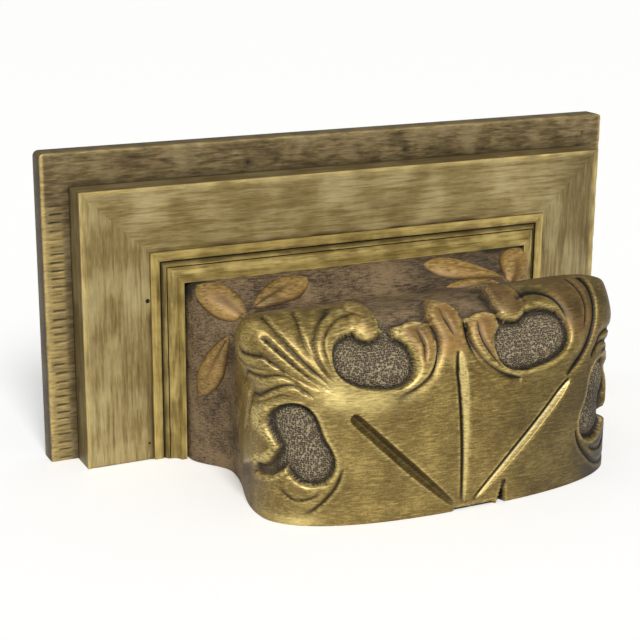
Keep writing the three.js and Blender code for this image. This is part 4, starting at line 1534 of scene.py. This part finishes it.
@dataclass(frozen=True)
class CoveLeaf:
    """A leaf laid on the cove behind the crest: base, tip and width, in millimetres.

    rise is how far its middle stands out and sunk how far its edge lies in the wood. fullest
    is the share of its length at which it is widest.
    """

    base: tuple[float, float, float]
    tip: tuple[float, float, float]
    width: float
    rise: float = 3.4
    sunk: float = 1.6
    fullest: float = 0.55
    along_steps: int = 30
    across_steps: int = 16

    def build(self, name: str, ground: BVHTree, material: bpy.types.Material) -> bpy.types.Object:
        """Makes the leaf.

        Args:
            name: The piece's name.
            ground: The plain block, above its cut face, in millimetres.
            material: The leaf's material.

        Returns:
            The leaf's object.
        """
        base, tip = Vector(self.base), Vector(self.tip)
        axis = tip - base
        normal = ground.find_nearest((base + tip) / 2)[1]
        across = axis.cross(normal).normalized()
        bend = math.log(0.5) / math.log(self.fullest)
        bm = bmesh.new()
        across_steps, along_steps = self.across_steps, self.along_steps
        bmesh.ops.create_grid(bm, x_segments=across_steps, y_segments=along_steps, size=1.0)
        layers = {layer: bm.verts.layers.float.new(layer.value) for layer in Layer}
        for vert in bm.verts:
            side = math.sin(vert.co.x * math.pi / 2)
            share = (vert.co.y + 1) / 2
            half = self.width / 2 * math.sin(math.pi * share**bend) ** 0.6 + 0.05
            wander = 0.5 * noise.noise(Vector((share * 3.0, side * 2.0, self.width)))
            above = base + axis * share + across * (half * side + wander)
            place, out = ground.find_nearest(above)[:2]
            dome = math.sqrt(max(0.0, 1 - side * side))
            ends = math.sin(math.pi * min(0.97, max(0.03, share))) ** 0.35
            vein = 0.7 * math.exp(-((side / 0.16) ** 2)) * ease(0.95, 0.4, share)
            height = (self.rise + self.sunk) * dome**0.8 * ends - self.sunk - vein * dome
            vert.co = (place + out * height) * MM + Vector((0, 0, CUT_LEVEL))
            vert[layers[Layer.LEAF]] = 1.0
            edge = float(ease(0.75, 1.0, abs(side)))
            # Painted highlight on the leaf's dome and painted shade along its vein and its edges
            vert[layers[Layer.RELIEF]] = 0.35 * dome - 0.9 * vein - 0.8 * edge
        bmesh.ops.contextual_create(bm, geom=[e for e in bm.edges if e.is_boundary])
        bmesh.ops.remove_doubles(bm, verts=bm.verts, dist=SAME_POINT)
        return publish(bm, name, "carved_block", material, 80.0)


# The cove's leaves: at the left one into the upper corner, one along the top and one down the
# side, the same three at the right, and a small one close behind the right crest.
COVE_LEAVES = (
    CoveLeaf((-76.0, -58.0, 77.0), (-95.0, -39.0, 91.5), 19.0),
    CoveLeaf((-72.0, -56.0, 82.0), (-36.0, -43.5, 91.0), 17.0),
    CoveLeaf((-84.0, -57.0, 70.0), (-95.5, -43.5, 36.0), 15.0),
    CoveLeaf((76.0, -58.0, 77.0), (95.0, -39.0, 91.5), 20.0),
    CoveLeaf((74.0, -56.0, 82.0), (32.0, -43.5, 91.0), 17.0, fullest=0.66),
    CoveLeaf((84.0, -57.0, 70.0), (95.5, -43.5, 36.0), 15.0),
    CoveLeaf((66.0, -66.0, 81.5), (36.0, -62.0, 80.0), 11.0),
)


@dataclass(frozen=True)
class Glow:
    """A painted highlight: its middle (u, z), its spread both ways in millimetres, its strength."""

    u: float
    z: float
    spread_u: float
    spread_z: float
    strength: float

    def at(self, u: np.ndarray, z: np.ndarray) -> np.ndarray:
        """Returns how bright it is at places on the front."""
        far = ((u - self.u) / self.spread_u) ** 2 + ((z - self.z) / self.spread_z) ** 2
        return self.strength * np.exp(-far)


@dataclass
class CarvedBlock:
    """The carved block: its plain form, the carving on it and the leaves on its cove.

    glows are the painted highlights on the left: the lobe between the two
    recesses, the band below the upper recess and the foot.
    """

    form: BlockForm
    carving: Carving
    leaves: tuple[CoveLeaf, ...]
    columns: int = 432
    front_rows: int = 150
    wrap_rows: int = 46
    waist_rows: int = 14
    foot_rows: int = 10
    wrap_share: float = 0.6
    near: float = 0.001
    glows: tuple[Glow, ...] = (
        Glow(66.0, 63.0, 6.5, 5.5, 0.8),
        Glow(50.0, 58.5, 17.0, 5.0, 0.6),
        Glow(84.0, 2.0, 9.0, 3.5, 0.7),
    )

    def angles(self) -> np.ndarray:
        """Works out the angles at which the rings are cut.

        Returns:
            Angles from the right over the top to the left, even round the crest.
        """
        width, height = self.form.crest_half_width, self.form.crest_height
        outline = 2 * (width + height)
        way = np.linspace(0, outline, self.columns + 1)
        rise = np.minimum(np.minimum(way, height), outline - way)
        across = np.clip((way - height) / (2 * width), 0, 1)
        return np.arctan2(rise, width * (1 - 2 * across))

    def stages(self) -> np.ndarray:
        """Works out where the rings lie along the block.

        Returns:
            Stages from the focus to the board, closer towards the crest.
        """
        front = np.linspace(0, 1, self.front_rows + 1) ** 0.75
        wrap = 1 + np.linspace(0, self.wrap_share, self.wrap_rows + 1)[1:]
        waist = 1 + np.linspace(self.wrap_share, 1, self.waist_rows + 1)[1:]
        foot = 2 + np.linspace(0, 1, self.foot_rows + 1)[1:]
        return np.concatenate([front, wrap, waist, foot, [4.0]])

    def plain(self) -> np.ndarray:
        """Points of the block before it is carved, by ring and angle."""
        angles = self.angles()
        return np.stack([self.form.ring(angles, stage) for stage in self.stages()])

    def normals(self, points: np.ndarray) -> np.ndarray:
        """Works out the outward directions of the plain block.

        Args:
            points: Its points by ring and angle.

        Returns:
            A unit vector for each point. The focus faces straight forward.
        """
        normal = np.cross(np.gradient(points, axis=0), np.gradient(points, axis=1))
        normal = normal / np.maximum(np.linalg.norm(normal, axis=-1, keepdims=True), 1e-9)
        middle = normal[self.front_rows // 2, self.columns // 2]
        normal = normal * -np.sign(middle[1])
        normal[0] = (0.0, -1.0, 0.0)
        return normal

    def surface(self) -> tuple[np.ndarray, dict[str, np.ndarray]]:
        """Works out the carved surface on a grid of rings.

        Returns:
            Points by ring and angle, and the surface measures as arrays.
        """
        points = self.plain()
        crest_row = self.front_rows
        crest = points[crest_row]
        steps = np.linalg.norm(np.diff(points, axis=0), axis=-1)
        behind = np.zeros(points.shape[:2])
        behind[crest_row + 1 :] = np.cumsum(steps[crest_row:], axis=0)

        square = self.form.crest_square
        out_x = np.clip(np.abs(crest[:, 0]) / self.form.crest_half_width, 0, 1) ** (square - 1)
        out_z = np.abs(crest[:, 2] / self.form.crest_height) ** (square - 1)
        length = np.hypot(out_x, out_z)
        on_front = (np.arange(len(points)) <= crest_row)[:, None]
        x = np.where(on_front, points[..., 0], crest[:, 0])
        x = np.clip(x, -self.form.crest_half_width, self.form.crest_half_width)
        z = np.where(on_front, points[..., 2], crest[:, 2]) + behind * (out_z / length)
        u = self.carving.mirrored(x) + behind * (out_x / length)
        made = self.carving.sample(x, u, z)
        # The relief layer: height above the mean round each place. The material paints ridges
        # bright, with wear and painted highlight, and cuts dark, with glazing and painted shade
        made["relief"] = np.clip((made["height"] - self.around(x, u, z)) * 1.5, -1, 1)

        on_side = out_x / length
        fade = ease(mix(34.0, 50.0, on_side), mix(14.0, 38.0, on_side), behind)
        cove = ease(mix(4.0, 40.0, on_side), mix(9.0, 48.0, on_side), behind)
        carved = points + self.normals(points) * (made["height"] * fade)[..., None]
        carved[-1] = points[-1]
        carved[..., 1] = np.maximum(carved[..., 1], -self.form.reach)
        carved[:, (0, -1), 2] = 0.0
        carved[..., 2] = np.maximum(carved[..., 2], 0.0)
        made["relief"] = np.clip(made["relief"] * fade - made["crack"], -1, 1)
        made["side"] = np.maximum(cove, made["open_ground"]) * (1 - made["leaf"] * fade)
        made["ground"] = made["ground"] * (1 - cove)
        made["leaf"] = made["leaf"] * fade
        # Painted highlights: the glows on the left and the bright gouge walls
        left = x < self.carving.centre
        glow = sum(glow.at(u, z) for glow in self.glows)
        made["burnish"] = np.clip(glow * left + made["tone"], 0, 1) * (1 - made["ground"])
        # Painted shade: the right, turned from the light, the dark gouge walls and the gap at the
        # foot's corners, taken off the relief
        glaze_and_shade = self.turned_away(x, u, z, made["ground"])
        glaze_and_shade = glaze_and_shade + np.clip(-made["tone"], 0, 1) + self.gap_shade(points)
        gouged = np.clip(np.abs(made["tone"]) * 4, 0, 1)
        softer = (1 - 0.3 * made["ground"]) * (1 - 0.5 * made["open_ground"]) * (1 - 0.8 * gouged)
        made["relief"] = np.clip(made["relief"] * softer - glaze_and_shade, -1, 1)
        return carved, made

    def around(self, x: np.ndarray, u: np.ndarray, z: np.ndarray) -> np.ndarray:
        """Mean height of the carving on two small circles round each place.

        Args:
            x: Places across.
            u: Mirrored places.
            z: Heights.

        Returns:
            Heights.
        """
        turns, reaches = 8, (0.9, 2.2)
        total = np.zeros_like(u)
        for turn in range(turns):
            du, dz = math.cos(turn * math.tau / turns), math.sin(turn * math.tau / turns)
            for reach in reaches:
                shifted = x + du * reach * np.sign(x - self.carving.centre)
                total += self.carving.sample(shifted, u + du * reach, z + dz * reach)["height"]
        return total / (turns * len(reaches))

    def turned_away(
        self, x: np.ndarray, u: np.ndarray, z: np.ndarray, ground: np.ndarray
    ) -> np.ndarray:
        """Says how much painted shade darkens the right, which is turned from the light.

        Args:
            x: Places across.
            u: Mirrored places.
            z: Heights.
            ground: How far each place is punched ground.

        Returns:
            Shares from 0 to 1.
        """
        low_right = ease(58.0, 80.0, x) * ease(66.0, 38.0, z)
        dark = 0.42 * ease(0.0, 45.0, x) * (1 - ground) + (0.45 + 0.15 * ground) * low_right
        return dark * mix(0.25, 1.0, ease(105.0, 90.0, u))

    def gap_shade(self, points: np.ndarray) -> np.ndarray:
        """Says how black the painted shade lies in the gap at the foot's upper corners.

        Args:
            points: Points of the plain block.

        Returns:
            Shares from 0 to 1.
        """
        x, y, z = points[..., 0], points[..., 1], points[..., 2]
        deep = ease(-42.5, -38.0, y) * ease(82.0, 90.0, z)
        left_corner = ease(-84.0, -91.0, x)
        right_corner = ease(70.0, 76.0, x) * ease(99.0, 93.0, x)
        return deep * np.maximum(left_corner, right_corner)

    def build(self) -> list[bpy.types.Object]:
        """Makes the block and its leaves.

        Returns:
            Their objects, the block first.
        """
        carved, made = self.surface()
        rows, columns = carved.shape[:2]
        bm = bmesh.new()
        bmesh.ops.create_grid(bm, x_segments=columns - 1, y_segments=rows - 1, size=1.0)
        names = {
            Layer.GROUND: "ground",
            Layer.LEAF: "leaf",
            Layer.RELIEF: "relief",
            Layer.BURNISH: "burnish",
            Layer.SHADE: "side",
        }
        layers = {layer: bm.verts.layers.float.new(layer.value) for layer in names}
        for vert in bm.verts:
            j = round((vert.co.x + 1) / 2 * (columns - 1))
            i = round((vert.co.y + 1) / 2 * (rows - 1))
            vert.co = Vector(carved[i, j]) * MM + Vector((0, 0, CUT_LEVEL))
            for layer, name in names.items():
                vert[layers[layer]] = float(made[name][i, j])
        bmesh.ops.remove_doubles(bm, verts=bm.verts, dist=self.near * MM)
        self.close(bm)
        material = CARVING_FINISH.build()
        block = publish(bm, "gilded_carved_block", "carved_block", material, 75.0)
        pieces = [block]
        ground = self.plain_tree()
        for index, leaf in enumerate(self.leaves):
            pieces.append(leaf.build(f"cove_leaf_{index + 1}", ground, material))
        return pieces

    def plain_tree(self) -> BVHTree:
        """Makes a search tree of the plain block behind the crest, for the cove leaves.

        Returns:
            The tree, in millimetres above the cut face.
        """
        points = self.plain()[:, ::4]
        rows, columns = points.shape[:2]
        faces = []
        for i in range(self.front_rows, rows - 1):
            for j in range(columns - 1):
                corner = i * columns + j
                faces.append((corner, corner + 1, corner + columns + 1, corner + columns))
        tree = BVHTree.FromPolygons([Vector(p) for p in points.reshape(-1, 3)], faces)
        middle = Vector((0.0, -60.0, 95.0))
        if tree.find_nearest(middle)[1].z < 0:
            faces = [face[::-1] for face in faces]
            tree = BVHTree.FromPolygons([Vector(p) for p in points.reshape(-1, 3)], faces)
        return tree

    def close(self, bm: bmesh.types.BMesh) -> None:
        """Closes the cut face below and the back face.

        Args:
            bm: The open carved surface.
        """
        back, near = -self.form.back * MM, self.near * MM
        rim = [v for v in bm.verts if v.is_boundary]
        on_back = [v for v in rim if abs(v.co.y - back) < near]
        feet = [v for v in on_back if v.co.z < CUT_LEVEL + near]
        bmesh.ops.contextual_create(bm, geom=feet)
        rim_edges = [e for e in bm.edges if e.is_boundary or e.is_wire]
        back_edges = [e for e in rim_edges if all(abs(v.co.y - back) < near for v in e.verts)]
        cut_edges = [e for e in rim_edges if all(v.co.z < CUT_LEVEL + near for v in e.verts)]
        bmesh.ops.contextual_create(bm, geom=cut_edges)
        bmesh.ops.contextual_create(bm, geom=back_edges)


@dataclass
class Studio:
    """A pale floor, soft lights and the camera at the photograph's viewing angle.

    Angles are in degrees and places in millimetres. lens_pixels is the camera's focal length
    in pixels of a picture that is picture_pixels wide.
    """

    yaw: float = 25.83
    pitch: float = 16.24
    roll: float = 0.44
    camera_place: tuple[float, float, float] = (-365.3, -739.1, 293.1)
    lens_pixels: float = 1550.9
    picture_pixels: float = 640.0
    sensor: float = 36.0
    floor_reach: float = 4000.0
    floor_gap: float = 0.2
    floor_colour: str = "#fdfdfc"
    light_direction: tuple[float, float, float] = (0.30, 1.0, -0.95)
    light_angle: float = 24.0
    light_strength: float = 3.3
    surroundings: float = 0.33

    def build(self) -> None:
        """Makes the floor, the lights and the camera."""
        self.floor()
        self.lights()
        self.camera()

    def floor(self) -> None:
        """Makes the floor that the bracket's cut face stands on."""
        bm = bmesh.new()
        place = Matrix.Translation((0.0, 0.0, CUT_LEVEL - self.floor_gap * MM))
        reach = self.floor_reach * MM
        bmesh.ops.create_grid(bm, x_segments=1, y_segments=1, size=reach, matrix=place)
        mesh = bpy.data.meshes.new("floor")
        bm.to_mesh(mesh)
        bm.free()
        # Matt white paper, a bright ground that takes only a soft shadow
        material = bpy.data.materials.new("pale floor")
        material.use_nodes = True
        shader = material.node_tree.nodes["Principled BSDF"]
        shader.inputs["Base Color"].default_value = linear(self.floor_colour)
        shader.inputs["Roughness"].default_value = 0.9
        mesh.materials.append(material)
        floor = bpy.data.objects.new("floor", mesh)
        bpy.context.scene.collection.objects.link(floor)

    def lights(self) -> None:
        """Makes a broad soft light from the front, above and a little left, and a pale sky."""
        lamp = bpy.data.lights.new("soft front light", "SUN")
        lamp.angle = math.radians(self.light_angle)
        lamp.energy = self.light_strength
        lamp_object = bpy.data.objects.new("soft front light", lamp)
        turn = Vector(self.light_direction).to_track_quat("-Z", "Y")
        lamp_object.rotation_euler = turn.to_euler()
        bpy.context.scene.collection.objects.link(lamp_object)
        world = bpy.data.worlds.new("pale surroundings")
        world.use_nodes = True
        background = world.node_tree.nodes["Background"]
        background.inputs["Color"].default_value = (1.0, 1.0, 1.0, 1.0)
        background.inputs["Strength"].default_value = self.surroundings
        bpy.context.scene.world = world

    def camera(self) -> None:
        """Makes the camera."""
        data = bpy.data.cameras.new("camera")
        data.sensor_width = self.sensor
        data.lens = self.lens_pixels / self.picture_pixels * self.sensor
        camera = bpy.data.objects.new("camera", data)
        turn = (
            Matrix.Rotation(-math.radians(self.yaw), 4, "Z")
            @ Matrix.Rotation(math.radians(90 - self.pitch), 4, "X")
            @ Matrix.Rotation(math.radians(self.roll), 4, "Z")
        )
        x, y, z = self.camera_place
        place = Matrix.Translation((x * MM, y * MM, z * MM + CUT_LEVEL))
        camera.matrix_world = place @ turn
        bpy.context.scene.collection.objects.link(camera)
        bpy.context.scene.camera = camera


@dataclass(frozen=True)
class NailHole:
    """An old nail hole in the frame's face, a small dark cup of dirt and painted shade, in
    millimetres.
    """

    x: float
    z: float
    radius: float = 1.1
    rim: float = 0.25
    face: float = FRAME_FRONT
    proud: float = 0.05

    def build(self, name: str, material: bpy.types.Material) -> bpy.types.Object:
        """Makes the hole.

        Args:
            name: The piece's name.
            material: The dark inside of the hole.

        Returns:
            The hole's object.
        """
        bm = bmesh.new()
        turn = Matrix.Rotation(math.radians(90.0), 4, "X")
        place = Matrix.Translation((self.x * MM, -self.face * MM, self.z * MM + CUT_LEVEL))
        bmesh.ops.create_cone(
            bm,
            cap_ends=True,
            segments=20,
            radius1=self.radius * MM,
            radius2=(self.radius - self.rim) * MM,
            depth=2 * self.proud * MM,
            matrix=place @ turn,
        )
        return publish(bm, name, "frame_left_stile", material, 40.0)


def hole_material() -> bpy.types.Material:
    """Makes the nail holes' inside: dry, almost black dirt and painted shade that swallow the light.

    Returns:
        The material.
    """
    material = bpy.data.materials.new("dirt and painted shade in nail hole")
    material.use_nodes = True
    tree = material.node_tree
    shader = tree.nodes["Principled BSDF"]
    grit = Pattern(0.4, detail=2.0).build(tree)
    colour = add_node(tree, Kind.RAMP, {0: grit}, stops=((0.3, "#0b0804"), (0.7, "#241c10")))
    tree.links.new(colour, shader.inputs["Base Color"])
    shader.inputs["Roughness"].default_value = 0.95
    return material


def frame_profile(width: float) -> list[tuple[float, float]]:
    """Works out the raised frame's section.

    Args:
        width: Width of the stiles.

    Returns:
        Distances inward and forward, counter-clockwise from the outer foot. Some points lie
        in line with their neighbours, as rows of vertices that carry the wear, the dirt and the
        painted shade.
    """
    outer_row, inner_row = 3.2, 2.6
    arris_row, foot_shade_row = 1.5, 3.3
    return [
        (0.0, BOARD_FRONT),
        (width, BOARD_FRONT),
        (width, FRAME_FRONT),
        (width - inner_row, FRAME_FRONT),
        (outer_row, FRAME_FRONT),
        (0.0, FRAME_FRONT),
        (0.0, FRAME_FRONT - arris_row),
        (0.0, BOARD_FRONT + foot_shade_row),
    ]


def moulding_profile(width: float) -> list[tuple[float, float]]:
    """Works out the inner moulding's section: two fillets, quirks, a cove and an inner edge.

    Args:
        width: Width of the moulding.

    Returns:
        Distances inward and forward, counter-clockwise from the outer foot.
    """
    first_level, second_level = 30.1, 32.0
    first_edge, second_edge = 5.2, 8.0
    quirk_width, quirk_depth = 0.6, 0.9
    cove_width, cove_steps = 4.4, 8
    points = [(0.0, BOARD_FRONT), (width, BOARD_FRONT), (width, MOULDING_FRONT)]
    for step in range(cove_steps, -1, -1):
        turn = step / cove_steps * math.pi / 2
        level = mix(second_level, MOULDING_FRONT, 1 - math.cos(turn))
        points.append((second_edge + cove_width * math.sin(turn), level))
    for edge, level in ((second_edge, second_level), (first_edge, first_level)):
        points.append((edge, level - quirk_depth))
        points.append((edge - quirk_width, level - quirk_depth))
        points.append((edge - quirk_width, level))
    points.append((0.0, first_level))
    return points


def main() -> None:
    """Builds the bracket's pieces in order and reports each."""
    logging.basicConfig(level=logging.INFO, format="%(name)s: %(message)s")
    bpy.context.scene.view_settings.view_transform = "Standard"
    BackBoard().build()
    frame_width, moulding_width, mitre_gap = 35.0, 15.4, 0.01
    MitredRun(
        nodes=("frame_left_stile", "frame_top_rail", "frame_right_stile"),
        names=("brushed_left_stile", "brushed_top_rail", "brushed_right_stile"),
        slot="frame_gilding",
        finish=FRAME_FINISH,
        profile=frame_profile(frame_width),
        width=302.0,
        height=142.2,
        stile=frame_width,
        rail=32.8,
        gap=mitre_gap,
        rounds=0.9,
        foot_shade_level=13.0,
        outer_shade=0.5,
        inner_dirt=0.65,
        inner_worn=False,
    ).build()
    MitredRun(
        nodes=("inner_moulding_left", "inner_moulding_top", "inner_moulding_right"),
        names=("stepped_moulding_left", "stepped_moulding_top", "stepped_moulding_right"),
        slot="moulding_gilding",
        finish=MOULDING_FINISH,
        profile=moulding_profile(moulding_width),
        width=231.4,
        height=109.1,
        stile=moulding_width,
        rail=moulding_width,
        gap=mitre_gap,
        rounds=0.25,
        quirks=((4.9, 29.5), (7.7, 31.4)),
        outer_drop=8.0,
    ).build()
    CarvedBlock(BlockForm(), Carving(), COVE_LEAVES).build()
    dirt = hole_material()
    NailHole(-117.4, 84.6, radius=1.3).build("upper_nail_hole", dirt)
    NailHole(-118.2, 9.0, radius=0.8).build("lower_nail_hole", dirt)
    Studio().build()


if __name__ == "__main__":
    main()
